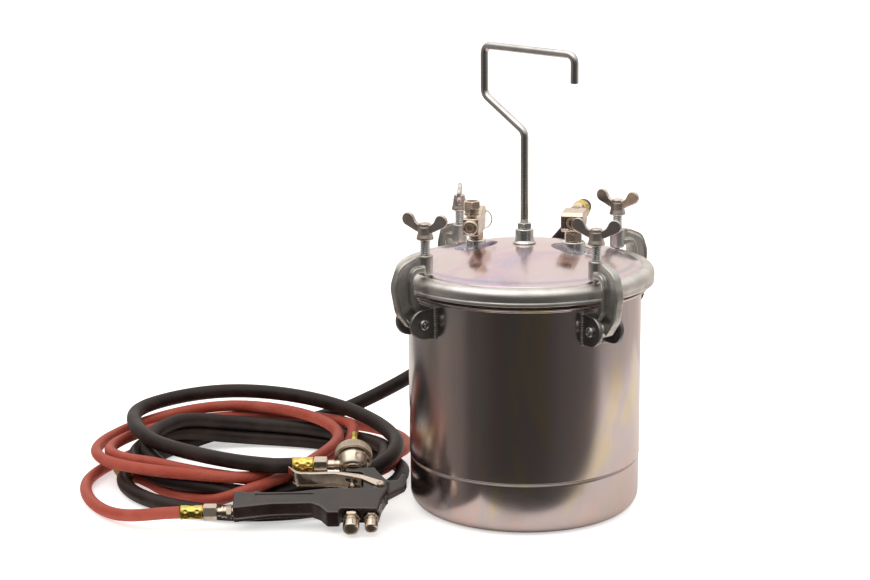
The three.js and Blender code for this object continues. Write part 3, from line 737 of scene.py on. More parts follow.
def hose_rubber(name, color, dusty, ribs_per_metre, rib_turns, rib_height, roughness):
    """Hose cover: fine slanting ribs along the hose with painted shade in their grooves, dust and darker handling
    marks.
    """
    look = Look(name, color, roughness=0.6)
    look.set("Specular IOR Level", 0.32)
    split = look.node("ShaderNodeSeparateXYZ")
    look.link(look.coords((1, 1, 1), "UV"), split.inputs[0])
    turn = look.math("ADD", look.math("MULTIPLY", split.outputs["X"], ribs_per_metre),
                     look.math("MULTIPLY", split.outputs["Y"], rib_turns))
    rib = look.math("PINGPONG", turn, 0.5)
    marks = look.noise(38, 5)
    dust = look.noise(600, 3)
    tint = look.mix(look.levels(marks, 0.4, 0.75), color, dusty)
    tint = look.mix(look.levels(dust, 0.6, 0.8, 0.0, 0.4), tint, dusty)
    # painted shade: the grooves between the ribs are darkened
    tint = look.mix(look.levels(rib, 0.12, 0.0, 0.0, 0.45), tint, tuple(c * 0.55 for c in color))
    look.color(tint)
    look.rough(marks, *roughness)
    look.bump(rib, rib_height)
    look.bump(dust, 0.02)
    return look.material


def black_enamel():
    """Gloss enamel over a slightly rough casting, a little grey where it is handled, with a painted highlight on
    its edges.
    """
    look = Look("black_enamel", (0.009, 0.006, 0.006), roughness=0.3, coat=0.8, coat_roughness=0.07)
    handled = look.noise(45, 5)
    # painted highlight: sharp edges, found by pointiness, are mixed towards a lighter grey
    edges = look.node("ShaderNodeNewGeometry").outputs["Pointiness"]
    tint = look.mix(look.levels(handled, 0.35, 0.75), (0.014, 0.007, 0.006), (0.034, 0.018, 0.016))
    tint = look.mix(look.levels(edges, 0.53, 0.6, 0.0, 0.5), tint, (0.06, 0.048, 0.045))
    look.color(tint)
    look.rough(handled, 0.18, 0.36)
    look.bump(look.noise(320, 3), 0.05, 0.8)
    look.bump(look.noise(1600, 2), 0.006)
    return look.material


def worn_bronze():
    """Dull brown metal at the bottom of a port, half covered with dried dirt."""
    look = Look("worn_bronze", (0.36, 0.27, 0.20), metallic=0.45, roughness=0.4)
    dirt = look.noise(500, 4)
    look.color(look.mix(look.levels(dirt, 0.4, 0.7), (0.40, 0.30, 0.23), (0.16, 0.12, 0.10)))
    look.rough(dirt, 0.32, 0.55)
    look.bump(dirt, 0.04)
    return look.material


def seal_rubber():
    look = Look("seal_rubber", (0.02, 0.02, 0.02), roughness=0.7)
    look.color(look.mix(look.noise(80, 4), (0.015, 0.015, 0.015), (0.04, 0.04, 0.04)))
    look.bump(look.noise(900, 3), 0.02)
    return look.material


port_x = (node_box("lid_boss_right")[0].x + node_box("lid_boss_right")[1].x) / 2
SHEET_ZINC = sheet_zinc()
LID_ZINC = lid_zinc()
RIM_ZINC = grained_zinc("rim_zinc", (0.92, 0.90, 0.87), (0.72, 0.70, 0.68), (0.34, 0.48), 0.09, 900)
# the last colour of cast, dark, screw and wing zinc is the painted highlight on their edges
CAST_ZINC = grained_zinc("cast_zinc", (0.80, 0.79, 0.75), (0.50, 0.50, 0.48), (0.30, 0.46), 0.14, 620,
                         (0.95, 0.90, 0.78))
DARK_ZINC = grained_zinc("dark_zinc", (0.40, 0.38, 0.37), (0.20, 0.19, 0.20), (0.28, 0.42), 0.07, 800,
                         (0.72, 0.74, 0.76))
SCREW_ZINC = grained_zinc("screw_zinc", (0.90, 0.93, 0.93), (0.66, 0.70, 0.71), (0.20, 0.32), 0.03, 1100,
                          (0.98, 0.98, 0.96))
WING_ZINC = grained_zinc("wing_zinc", (0.88, 0.80, 0.74), (0.56, 0.50, 0.47), (0.28, 0.44), 0.10, 700,
                         (0.96, 0.95, 0.92))
ROD_ZINC = grained_zinc("rod_zinc", (0.90, 0.89, 0.88), (0.70, 0.69, 0.68), (0.18, 0.28), 0.02, 1500)
NICKEL = polished("nickel", (0.86, 0.74, 0.62), (0.66, 0.54, 0.44), (0.16, 0.30))
GUN_NICKEL = polished("gun_nickel", (0.80, 0.69, 0.58), (0.60, 0.50, 0.41), (0.12, 0.28), 0.006)
CAP_NICKEL = grained_zinc("cap_nickel", (0.66, 0.56, 0.45), (0.50, 0.41, 0.32), (0.26, 0.42), 0.03, 1000)
BRASS = polished("brass", (0.93, 0.70, 0.20), (0.78, 0.53, 0.12), (0.12, 0.26), 0.006)
BLACK_RUBBER = hose_rubber("black_rubber", (0.015, 0.009, 0.008), (0.040, 0.026, 0.023), 420, 1, 0.03,
                           (0.38, 0.54))
RED_RUBBER = hose_rubber("red_rubber", (0.43, 0.074, 0.046), (0.50, 0.12, 0.085), 520, 3, 0.5, (0.36, 0.52))
BLACK_ENAMEL = black_enamel()
SEAL = seal_rubber()
BRONZE = worn_bronze()


# ---------------------------------------------------------------- hoses
def hose_piece(name, route, radius, look, nodes):
    shape = tube([tuple(p) for p in route], radius, 20)
    thing = piece(name, shape, look, nodes[0], sharp=60)
    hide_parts(*nodes)
    mesh = thing.data
    uv = mesh.uv_layers.new(name="hose")
    sides = 20
    for polygon in mesh.polygons:
        if len(polygon.vertices) != 4:
            continue
        rows = [v // sides for v in polygon.vertices]
        columns = [v % sides for v in polygon.vertices]
        wraps = max(columns) - min(columns) > 1
        for loop, row, column in zip(polygon.loop_indices, rows, columns):
            girth = sides if wraps and column == 0 else column
            uv.data[loop].uv = (row * HOSE_STEP * MM, girth / sides)
    return thing


fluid_hose = hose_piece("fluid_hose", fluid_route, HOSE_R, BLACK_RUBBER,
                        ["fluid_hose_lead", "fluid_hose_coil", "fluid_hose_end"])
air_hose = hose_piece("air_hose", air_route, AIR_HOSE_R, RED_RUBBER, ["air_hose_tail", "air_hose_coil"])


# ---------------------------------------------------------------- hose ends
OUTLET_FERRULE_R = 9.2
DIMPLE_ROWS = 3
DIMPLES_ROUND = 7
BACKWARDS = Vector((0, 1, 0))


def ferrule(radius, length):
    """Crimped brass sleeve along Z: rolled rims and rows of pressed dimples."""
    def radius_at(a, z):
        dents = 0.0
        for row in range(DIMPLE_ROWS):
            middle = length * (0.24 + 0.52 * row / (DIMPLE_ROWS - 1))
            turn = (a / TAU * DIMPLES_ROUND + 0.5 * (row % 2)) % 1 - 0.5
            away = math.hypot(turn * TAU * radius / DIMPLES_ROUND, (z - middle) * 1.1)
            dents += 0.9 * math.exp(-(away / 2.1) ** 2)
        lips = sum(0.45 * math.exp(-((z - rim) / 0.8) ** 2) for rim in (1.0, length - 1.0))
        rounding = 0.6 * (1 - min(1, min(z, length - z) / 0.7))
        return radius - 0.5 - dents + lips - rounding

    return polar(radius_at, steps(0, length, 46), 84)


def swivel_nut(flats, length, pipe_r, pipe_length, turn=0.0):
    """Hexagonal hose nut along Z round the end of its pipe."""
    return merged(hexagon(flats, 0, length, 1.4, turn), rod(pipe_r, -0.1, pipe_length))


def along(axis, start):
    """Matrix that lays Z along an axis, starting at a point."""
    return Matrix.Translation(start) @ axis.to_track_quat("Z", "Y").to_matrix().to_4x4()


def out_of_gun(x, y, z):
    """Matrix that lays Z along the hoses at the gun, from a point in the gun's own frame."""
    return along(-gun_x, GUN @ Vector((x, y, z)))


low, high = node_box("outlet_ferrule")
outlet_line = low.lerp(high, 0.5)
outlet_ferrule = piece("outlet_ferrule_crimped", ferrule(OUTLET_FERRULE_R, high.y - low.y), BRASS,
                       "outlet_ferrule", place=along(BACKWARDS, Vector((outlet_line.x, low.y, outlet_line.z))))
low, high = node_box("outlet_hose_nut")
outlet_nut = piece("outlet_swivel_nut", swivel_nut(17, high.y - low.y, 6.4, 15.5), NICKEL, "outlet_hose_nut",
                   place=along(BACKWARDS, Vector((outlet_line.x, low.y, outlet_line.z))))
fluid_ferrule = piece("fluid_ferrule_crimped", ferrule(8.9, 22.2), BRASS, "fluid_hose_ferrule",
                      place=out_of_gun(-40.3, 98, 1))
fluid_nut = piece("fluid_swivel_nut", swivel_nut(15.5, 13.7, 5.6, 14.2, 0.35), GUN_NICKEL, "fluid_hose_nut",
                  place=out_of_gun(-26.3, 98, 1))
air_ferrule = piece("air_ferrule_crimped", ferrule(7.6, 22.7), BRASS, "air_hose_ferrule",
                    place=out_of_gun(-148.3, 32, -2))
air_nut = piece("air_swivel_nut", swivel_nut(14.5, 13.7, 5.2, 14.2, 0.2), GUN_NICKEL, "air_hose_nut",
                place=out_of_gun(-134.3, 32, -2))
coupling = lathe([(0, 14), (5.6, 14), (5.9, 14.4), (5.9, 16.6), (5.0, 17), (5.0, 17.6), (5.9, 18), (5.9, 19.6),
                  (4.4, 20), (4.4, 23.6), (0, 23.6)], 48)
air_adapter = piece("air_inlet_adapter", merged(rod(4.7, -2, 10), hexagon(13, 9.3, 15, 1.1), coupling),
                    GUN_NICKEL, "gun_air_inlet", place=out_of_gun(-110, 32, -2))
supply = piece("air_supply_end", merged(ferrule(7.6, 22), rod(4.6, 20, 27), hexagon(14.5, 25, 38, 1.4)), BRASS,
               "air_supply_fitting", place=along(supply_way, SUPPLY_END))


# ---------------------------------------------------------------- tank
SHEET = 1.6
TANK_R = 119.0
CUP_R = 118.4
CUP_CORNER = 15.0
FOOT_IN = 94.0


def make_tank():
    low, high = node_box("tank_shell")
    seam, top = low.z, high.z
    bead, bead_z = high.x, top - 15.5
    inner = TANK_R - SHEET
    seam_lip = [(TANK_R - 0.5, seam), (TANK_R - 0.1, seam + 0.2), (TANK_R, seam + 0.6), (TANK_R, seam + 8)]
    swage = [(TANK_R, -4.6), (TANK_R + 0.3, -3.8), (TANK_R + 1.2, -3), (bead - 2.2, -2.3), (bead - 0.8, -1.5),
             (bead, -0.3), (bead, 0.3), (bead - 0.8, 1.5), (bead - 2.4, 2.2), (TANK_R + 0.8, 2.7),
             (TANK_R, 3.6)]
    shell = hoop([(inner, seam), *seam_lip, *[(r, bead_z + z) for r, z in swage],
                  (TANK_R, top - 0.4), (TANK_R - 0.4, top), (inner, top)], 256)
    piece("tank_wall", shell, SHEET_ZINC, "tank_shell", sharp=50)
    lap_r = TANK_R - SHEET - 0.3
    corner = CUP_R - CUP_CORNER
    lap_top = node_box("bottom_cup")[1].z
    outside = [(0, 3), (FOOT_IN - 12, 3), (FOOT_IN - 8, 2.7), (FOOT_IN - 2, 0.4), (FOOT_IN + 1, 0), (corner, 0),
               *arc(corner, CUP_CORNER, CUP_CORNER, -86, 0, 18), (CUP_R, seam - 4), (CUP_R - 0.2, seam - 2.4),
               (lap_r + 0.1, seam - 1.2), (lap_r, seam), (lap_r, lap_top)]
    inside = [(lap_r - SHEET, lap_top), (lap_r - SHEET, seam - 1), (CUP_R - SHEET, seam - 4),
              *arc(corner, CUP_CORNER, CUP_CORNER - SHEET, 0, -86, 18), (corner, SHEET), (FOOT_IN + 1, SHEET),
              (FOOT_IN - 8, 2.7 + SHEET), (0, 3 + SHEET)]
    piece("tank_bottom_cup", lathe([*outside, *inside], 256), SHEET_ZINC, "bottom_cup", sharp=50)


# ---------------------------------------------------------------- lid, its bosses and the handle
DOME_R = 116.5
DOME_RISE = 20.4
SEAT_DROP = 10.6
SEAT_R = 18.0
SEAT_BLEND = 4.2
RIM_FROM = 117.6  # the lid is in the finish of its rim from this radius on
HANDLE_YAW = math.radians(-30)
HANDLE_LINE = [(0, 386, 11), (-53, 420, 11), (-53, 470, 9), (63, 466, 9), (63, 438)]
HANDLE_R = 4.0


def rim_profile(lid_r, edge_z, skirt):
    """Channel-shaped rim from the foot of the dome over its round shoulder down to the lip of the skirt."""
    channel = [(117.2, -0.5), (118.0, -1.0), (118.9, -1.1), (120.0, -0.6), (121.4, -0.3)]
    shoulder = [(124.0, -0.4), (126.5, -0.9), (128.4, -1.7), (129.9, -2.9), (131.0, -4.4), (131.7, -6.1),
                (lid_r, -8.0)]
    lip = [(0, 5.4), (0.8, 4.6), (0.9, 4.2), (0.5, 3.7), (0.15, 2.9), (0, 2.0), (0.1, 1.0), (0.4, 0.3),
           (0.9, 0)]
    return [(r, edge_z + z) for r, z in channel + shoulder] + [(lid_r - inward, skirt + z) for inward, z in lip]


def make_lid():
    low, high = node_box("lid")
    top = high.z
    edge_z = top - DOME_RISE
    seat_z = top - SEAT_DROP
    sphere = (DOME_R ** 2 + (top - edge_z) ** 2) / (2 * (top - edge_z))
    sides = 288

    def height(r, a):
        """Dome with a flat seat pressed into it round each port."""
        z = top - (sphere - math.sqrt(sphere ** 2 - r ** 2))
        for side in (-port_x, port_x):
            away = math.hypot(r * math.cos(a) - side, r * math.sin(a))
            t = min(1, max(0, (away - SEAT_R + 0.6) / SEAT_BLEND))
            t = t * t * (3 - 2 * t)
            z = seat_z + (z - seat_z) * t if z > seat_z else z
        return z

    rows = [[(r, height(r, TAU * k / sides)) for k in range(sides)] for r in steps(1.2, DOME_R, 96)]
    rows += [[(r, z)] * sides for r, z in rim_profile(high.x, edge_z, low.z)]
    points = [(0, 0, top)]
    for row in rows:
        points += [(r * math.cos(TAU * k / sides), r * math.sin(TAU * k / sides), z)
                   for k, (r, z) in enumerate(row)]
    faces = [(0, 1 + k, 1 + (k + 1) % sides) for k in range(sides)]
    for row in range(len(rows) - 1):
        base = 1 + row * sides
        faces += [(base + k, base + sides + k, base + sides + (k + 1) % sides, base + (k + 1) % sides)
                  for k in range(sides)]
    sheet = reshaped((points, faces), ("SOLIDIFY", dict(thickness=SHEET * MM, offset=-1)))
    lid = piece("lid_plate", sheet, LID_ZINC, "lid", sharp=60)
    lid.data.materials.append(RIM_ZINC)
    for polygon in lid.data.polygons:
        polygon.material_index = int(polygon.center.xy.length > RIM_FROM * MM)
    low, high = node_box("lid_gasket")
    inner = 115.0
    piece("lid_seal", hoop([(inner, low.z), (high.x, low.z), (high.x, high.z - 0.5), (high.x - 0.6, high.z),
                            (inner + 0.6, high.z), (inner, high.z - 0.5)], 160), SEAL, "lid_gasket")


def weld(radius, z, size, lumps, seed):
    """Fillet weld round an upright piece: a ring of overlapping ripples."""
    count, sides = 360, 10
    points, faces = [], []
    for k in range(count):
        a = TAU * k / count
        out = Vector((math.cos(a), math.sin(a), 0))
        lift = noise.noise(Vector((math.cos(a) * 3, math.sin(a) * 3, seed)))
        ripple = abs(math.sin(a * lumps / 2 + lift))
        thick = size * (0.82 + 0.22 * ripple + 0.25 * lift)
        for j in range(sides):
            b = TAU * j / sides
            points.append(tuple(out * radius + UP * z + thick * (math.cos(b) * out + math.sin(b) * UP * 0.8)))
            n, m = (k + 1) % count, (j + 1) % sides
            faces.append((k * sides + j, n * sides + j, n * sides + m, k * sides + m))
    return points, faces


def make_center_boss():
    low, high = node_box("lid_boss_center")
    tall = high.z - low.z
    turned = hoop([(4.2, -0.2), (11.2, -0.2), (11.6, 0.4), (10.8, 1.6), (9.7, 2.4), (9.3, 3.4), (9.3, tall - 1),
                   (8.9, tall - 0.4), (8.2, tall), (4.2, tall)])
    piece("center_boss", shifted(merged(turned, weld(10.8, 0.6, 1.15, 26, 1.0)), z=low.z), SCREW_ZINC,
          "lid_boss_center")
    low, high = node_box("handle_jam_nut")
    nut = carved(hexagon(13.4, low.z, high.z, 1.3, 0.4), rod(4.15, low.z - 1, high.z + 1, 64))
    piece("handle_nut", nut, SCREW_ZINC, "handle_jam_nut")


def make_port_boss(name, node, body_r, bore, seed):
    low, high = node_box(node)
    base = low.z - 0.25
    tall = high.z - base
    turned = hoop([(bore, 0), (body_r + 1.4, 0), (body_r + 1.6, 0.8), (body_r + 0.6, 2.2), (body_r, 3.4),
                   (body_r, tall - 1.2), (body_r - 0.4, tall - 0.4), (body_r - 1.2, tall), (bore, tall)])
    piece(name, merged(turned, weld(body_r + 1.3, 1.0, 1.5, 30, seed)), SCREW_ZINC, node,
          place=Matrix.Translation(((low.x + high.x) / 2, 0, base)))


def make_handle():
    foot = node_box("handle_rod")[0].z
    line = rounded([(0, foot), *HANDLE_LINE], 10)
    path = [(x * math.cos(HANDLE_YAW), x * math.sin(HANDLE_YAW), z) for x, z in line]
    fine = [tuple(p) for p in evenly(np.array(path), 2.0)]
    end = Vector(fine[-1])
    radii = [HANDLE_R] * len(fine) + [3.6, 2.9]
    fine = fine[:-1] + [tuple(end + UP * up) for up in (0.9, 0.35, 0)]
    nut_top = node_box("handle_jam_nut")[1].z
    screwed = thread(4.12, nut_top - 2, nut_top + 4.5, 1.25, 0.5)
    piece("handle_bar", merged(tube(fine, radii, 32), screwed), ROD_ZINC, "handle_rod", sharp=50)
    low, high = node_box("dip_tube")
    piece("pickup_tube", hoop([(3.6, low.z), (5, low.z), (5, high.z), (3.6, high.z)], 64), ROD_ZINC, "dip_tube",
          place=Matrix.Translation((port_x, 0, 0)))


make_tank()
make_lid()
make_center_boss()
make_port_boss("air_boss", "lid_boss_left", 10.3, 6.2, 4.0)
make_port_boss("outlet_boss", "lid_boss_right", 12.0, 7.6, 7.0)
make_handle()


# ---------------------------------------------------------------- lid fittings
def side_block(outline, half, bevel):
    """Block drawn in (Y, Z) and as wide as two halves along X."""
    return placed(standing(prism(outline, -half, half, bevel)), Matrix.Rotation(math.pi / 2, 4, "Z"))


def make_outlet():
    place = Matrix.Translation((port_x, 0, 0))
    boss_top = node_box("lid_boss_right")[1].z
    top = node_box("outlet_nipple")[1].z
    spigot = lathe([(0, -7), (6.6, -7), (6.9, -6.4), (6.9, 1), (0, 1)], 64)
    piece("outlet_adapter",
          merged(shifted(spigot, z=boss_top), hexagon(16.5, boss_top + 0.3, top - 1.2, 1.2, 0.3),
                                   rod(7.2, top - 1.6, top, 64)), NICKEL, "outlet_nipple", place=place)
    low, high = node_box("outlet_block")
    front, back, base, top = low.y, high.y, low.z, high.z
    half = high.x - port_x
    outline = rounded([
        (front, base + 4, 1.5), (front + 4, base, 1.5), (half, base, 1), (half + 6, base + 4, 2),
        (back, base + 6, 2), (back, top - 1, 1), (back - 1, top, 1), (front + 3.5, top, 1.5),
        (front, top - 3.5, 1.5)], 4)
    low, high = node_box("outlet_plug")
    middle_z = (low.z + high.z) / 2
    socket = lathe([(0, 0), (7.2, 0), (6.6, 1.4), (6.6, 11), (0, 11)], 64)
    body = carved(side_block(outline, half, 2.2), along_y(socket, 0, front - 0.6, middle_z))
    piece("outlet_elbow", body, NICKEL, "outlet_block", place=place)
    plug = carved(lathe([(0, 0.6), (5.2, 0.6), (6.0, 1.2), (6.3, 1.9), (6.3, 9.6), (0, 9.6)], 64),
                  hexagon(6, -1, 6, 0.1))
    piece("outlet_screw_plug", along_y(plug, 0, low.y, middle_z), BRONZE, "outlet_plug", place=place)


def make_manifold():
    place = Matrix.Translation((-port_x, 0, 0))
    boss_top = node_box("lid_boss_left")[1].z
    low, high = node_box("manifold_block")
    stem_top, block_top = boss_top + 8, boss_top + 26
    front, back = low.y + 5, high.y
    middle = (stem_top + block_top) / 2
    body = side_block(rounded([
        (front, stem_top, 2), (back - 5, stem_top, 3), (back, stem_top + 8, 2), (back, block_top + 7, 2),
        (back - 10, block_top + 7.5, 3), (front + 15, block_top, 6), (front, block_top, 2)], 4), 8, 1.6)
    port = lathe([
        (0, 5), (5.5, 5), (5.5, 0.4), (5.9, 0), (6.9, 0.2), (7.6, 0.9), (7.8, 1.8), (7.8, 3.2), (7.3, 3.8),
        (7.3, 4.4), (7.8, 5), (7.8, 7), (0, 7)], 80)
    screw = lathe([
        (0, 3.8), (2.0, 3.6), (2.5, 2.4), (2.7, 1.1), (3.1, 0.8), (4.3, 0.8), (5.0, 1.1), (5.3, 1.8),
        (5.3, 4.8), (0, 4.8)], 64)
    neck = shifted(rod(5, block_top - 2, block_top + 2.2, 64), y=front + 8)
    stem = lathe([(0, low.z), (5.5, low.z), (5.9, low.z + 0.6), (5.9, stem_top + 2), (0, stem_top + 2)], 64)
    foot = hexagon(13, boss_top + 0.3, stem_top + 1, 0.9)
    piece("air_manifold", merged(body, along_y(port, 0, low.y, middle), neck, stem, foot), NICKEL,
          "manifold_block", place=place)
    piece("manifold_port_screw", along_y(screw, 0, low.y, middle), BRONZE, "manifold_block", stands_for=False,
          place=place)
    low, high = node_box("manifold_top_nut")
    nut = bored(hexagon(15.4, -7.6, 0, 1.3, 0.25), 5.2, -4, 1)
    inlet = bored(lathe([(0, -7), (5.1, -7), (5.1, -1.2), (4.4, -0.8), (0, -0.8)], 64), 2.6, -6, 0)
    collar = lathe([(0, 0), (7.0, 0), (7.6, 0.7), (7.6, 2.4), (6.9, 3), (6.9, 3.6), (7.6, 4.2), (7.6, 6.4),
                    (7.0, 7.2), (0, 7.2)], 80)
    swivel = merged(shifted(merged(nut, inlet), z=high.z), shifted(collar, z=low.z))
    piece("manifold_swivel_nut", shifted(swivel, y=front + 8), NICKEL, "manifold_top_nut", place=place)


def make_relief_valve():
    place = Matrix.Translation((-port_x, 0, 0))
    low, high = node_box("safety_valve_body")
    valve_z = (low.z + high.z) / 2
    body = merged(bored(rod(5.6, 0, 5.6, 64), 2.4, 3.7, 7), bored(hexagon(12, 4.7, 12.5, 1.0), 2.4, 3, 14),
                  bored(lathe([(0, 12), (4.9, 12), (4.9, 15.2), (4.4, 15.7), (0, 15.7)], 64), 2.4, 11, 17))
    piece("relief_valve_body", along_y(body, 0, low.y, valve_z), BRASS, "safety_valve_body", place=place)
    low, high = node_box("safety_valve_stem")
    end = high.y - low.y
    pin = along_y(lathe([(0, 0), (2, 0), (2, end - 0.8), (1.4, end), (0, end)], 48), 0, low.y, valve_z)
    hole = along_x(rod(1, -4, 4, 24), 0, joint_point("safety_ring_swing").y, valve_z)
    piece("relief_valve_pin", carved(pin, hole), NICKEL, "safety_valve_stem", place=place)
    low, high = node_box("safety_valve_ring")
    wire = 0.6
    ring = tube([(x, 0, z) for x, z in arc(0, 0, (high.z - low.z) / 2 - wire, 0, 360, 64)], wire, 12)
    piece("relief_pull_ring", shifted(ring, *low.lerp(high, 0.5)), NICKEL, "safety_valve_ring")


# ---------------------------------------------------------------- clamps
WING_YAWS = {"front_left": -18, "front_right": -12, "back_right": -25, "back_left": 100}
EAR_OUTER = 15.0
EAR_THICK = 4.0
EAR_R = 15.0
PIN_HOLE_R = 4.3
BOSS_TALL = 20
HEAD_TOP = 47  # top of the wing head above the swivel tip
HEAD_TALL = 17


def paired(shape):
    """Shape and its mirror image across the XZ plane."""
    points, faces = shape
    return merged(shape, ([(x, -y, z) for x, y, z in points], faces))


def clamp_places(name):
    """Radius and height of the hinge pin, radius of the screw, and the clamp's angle round the pot."""
    pin = joint_point(f"clamp_{name}_swing")
    return pin.xy.length, pin.z, joint_point(f"clamp_{name}_turn").xy.length, math.atan2(pin.y, pin.x)


def pin_hole(pin_r, pin_z):
    return along_y(rod(PIN_HOLE_R, -30, 30, 40), pin_r, 0, pin_z)


def arm_shape(name):
    """C-shaped casting: a web with a rolled outer edge, an inner flange, a boss and a knuckle."""
    pin_r, pin_z, screw_r, _ = clamp_places(name)
    top = node_box(f"clamp_arm_{name}")[1].z
    base = top - BOSS_TALL
    web = rounded([
        (screw_r, top - 0.4), (screw_r, base + 9), (129, 262), (139.5, 262, 9), (140.5, 240, 8),
        (132, 219.5, 12), (124, 211, 8), (123.6, pin_z, 2), (126.5, pin_z - 6, 4), (pin_r, pin_z - 7.4, 3),
        (137.4, pin_z - 3.7, 3), (153, 218, 22), (158.5, 246, 26), (151, 266, 16), (132, top - 0.4, 10)], 10)
    flange = rounded([
        (124, 257.2), (136.6, 257.6, 8), (137, 241, 8), (128.5, 221.5), (131.5, 217.5), (141, 228, 9),
        (142.3, 250, 12), (138, 263.4, 10), (124, 263.4)], 8)
    edge = rounded([
        (130, top - 3.4), (132, top - 0.4, 6), (151, 266, 16), (158.5, 246, 26), (153, 218, 22),
        (141, 203), (139, 205.4), (150.4, 219.5, 20), (155.7, 246, 24), (149.3, 263.6, 14),
        (132, top - 3.4, 8)], 10)
    boss = lathe([(0, base), (6.6, base), (7.4, base + 1), (7.6, base + 3), (7.6, top - 1.4), (7.0, top - 0.3),
                  (0, top)], 64)
    knuckle = lathe([(0, -8), (7.0, -8), (7.4, -7.5), (7.4, 7.5), (7.0, 8), (0, 8)], 48)
    casting = cast([standing(prism(web, -3.3, 3.3, 0.8)), standing(prism(flange, -7.9, 7.9, 1.3)),
                    standing(prism(edge, -4.4, 4.4, 1.3)), shifted(boss, screw_r),
                    along_y(knuckle, pin_r, 0, pin_z)], 0.7, 5)
    return carved(casting, shifted(rod(5.3, base - 5, top + 5), screw_r), pin_hole(pin_r, pin_z))


def bracket_shape(pin_r, pin_z):
    """Folded bracket: two ears round the pin, a back plate against the shell, and its welds."""
    root = TANK_R + 0.3
    reach = EAR_R + 0.5
    ear = [(root - 1.2, pin_z + reach), (root - 1.2, pin_z - reach), (root + 2, pin_z - reach),
           *arc(pin_r, pin_z, EAR_R, -90, 90, 20), (root + 2, pin_z + reach)]
    blank = standing(prism(ear, EAR_OUTER - EAR_THICK, EAR_OUTER, 0.6))
    plate = cast([carved(blank, pin_hole(pin_r, pin_z))], 0.6, 2)
    back = carved(block((root - 3, 1 - EAR_OUTER, pin_z - 16), (root + 3.4, EAR_OUTER - 1, pin_z + 16.5), 0.5),
                  rod(root, pin_z - 40, pin_z + 40, 180))
    heights = steps(pin_z - 16, pin_z + 16.5, 109)
    seam = [(root - 0.4, EAR_OUTER + 0.5, z) for z in heights]
    girth = [1.35 + 0.35 * abs(math.sin(z * 1.25)) + 0.25 * noise.noise(Vector((z * 0.3, 0, 0)))
             for z in heights]
    girth[0] = girth[-1] = 0.6
    return merged(paired(plate), back, paired(tube(seam, girth, 12)))


def wing_outline(hub_low):
    """One wing in (radius, height): a narrow root and a round paddle."""
    paddle = arc(18.6, 19.4, 6.6, -66, 150, 18)
    corners = [(2, 6.4), (9, 7.6, 12), (15.5, 10.8, 8), *paddle, (10.2, 17.4, 6), (6.5, 15.2, 4), (2, 14.6)]
    return [(x, hub_low + z) for x, z in rounded(corners, 6)]


def rivet_shape():
    """Hinge pin with a domed, dished head at each end."""
    end = EAR_OUTER + 0.3
    head = lathe([(r, end + z) for r, z in (
        (0, 0), (5.2, 0), (5.2, 1.4), (4.7, 2.2), (3.9, 2.5), (3.3, 2.2), (3.0, 1.7), (2.6, 1.7), (2.2, 2.4),
        (1.4, 2.9), (0, 3.0))], 48)
    return merged(along_y(rod(4, -end - 0.2, end + 0.2)), paired(along_y(head)))


def make_clamp(name, wing_yaw, arm):
    pin_r, pin_z, screw_r, angle = clamp_places(name)
    place = Matrix.Rotation(angle, 4, "Z")
    turned = Matrix.Rotation(math.radians(wing_yaw) - angle, 4, "Z")
    screw_place = place @ Matrix.Translation((screw_r, 0, 0)) @ turned
    piece(f"bracket_welded_{name}", bracket_shape(pin_r, pin_z), DARK_ZINC, f"bracket_{name}", place=place)
    piece(f"hinge_rivet_{name}", rivet_shape(), DARK_ZINC, f"clamp_pin_{name}",
          place=place @ Matrix.Translation((pin_r, 0, pin_z)))
    low, high = node_box(f"clamp_tip_{name}")
    tip = lathe([
        (0, low.z), (2.0, low.z), (2.6, low.z + 0.4), (3.6, low.z + 1.5), (3.8, low.z + 2.1),
        (3.8, high.z - 0.4), (3.4, high.z), (0, high.z)], 40)
    piece(f"swivel_tip_{name}", tip, SCREW_ZINC, f"clamp_tip_{name}", place=screw_place)
    hub_low = high.z + HEAD_TOP - HEAD_TALL
    shaft = thread(5.0, high.z + 0.3, hub_low + 1, 2.0, 1.2, 48)
    hub = lathe([(r, hub_low + z) for r, z in (
        (0, 0), (7.6, 0), (8.4, 0.7), (8.6, 1.8), (8.1, 3.4), (7.4, 5.6), (6.9, 9), (6.5, 12.6), (6.0, 13.4),
        (5.9, 15.4), (5.3, 16.6), (3.6, HEAD_TALL), (0, HEAD_TALL - 0.5))], 64)
    piece(f"screw_shaft_{name}", shaft, SCREW_ZINC, f"clamp_screw_{name}", place=screw_place)
    wing = standing(prism(wing_outline(hub_low), -2.1, 2.1, 0.9))
    wings = cast([hub, wing, placed(wing, Matrix.Rotation(math.pi, 4, "Z"))], 0.5, 3)
    piece(f"wing_head_{name}", wings, WING_ZINC, f"clamp_screw_{name}", place=screw_place, sharp=60)
    piece(f"arm_casting_{name}", arm, CAST_ZINC, f"clamp_arm_{name}", place=place, sharp=60)


def make_clamps():
    arm = arm_shape(next(iter(WING_YAWS)))
    for name, wing_yaw in WING_YAWS.items():
        make_clamp(name, wing_yaw, arm)


make_outlet()
make_manifold()
make_relief_valve()
make_clamps()


# ---------------------------------------------------------------- spray gun, drawn in the gun's own frame
PIVOT = (28.4, 59.5)
PIVOT_HOLE_R = 2.6


def in_gun(name, shape, look, node, **more):
    return piece(name, shape, look, node, place=GUN, **more)


def pivot_hole():
    return shifted(rod(PIVOT_HOLE_R, -20, 20, 40), *PIVOT)


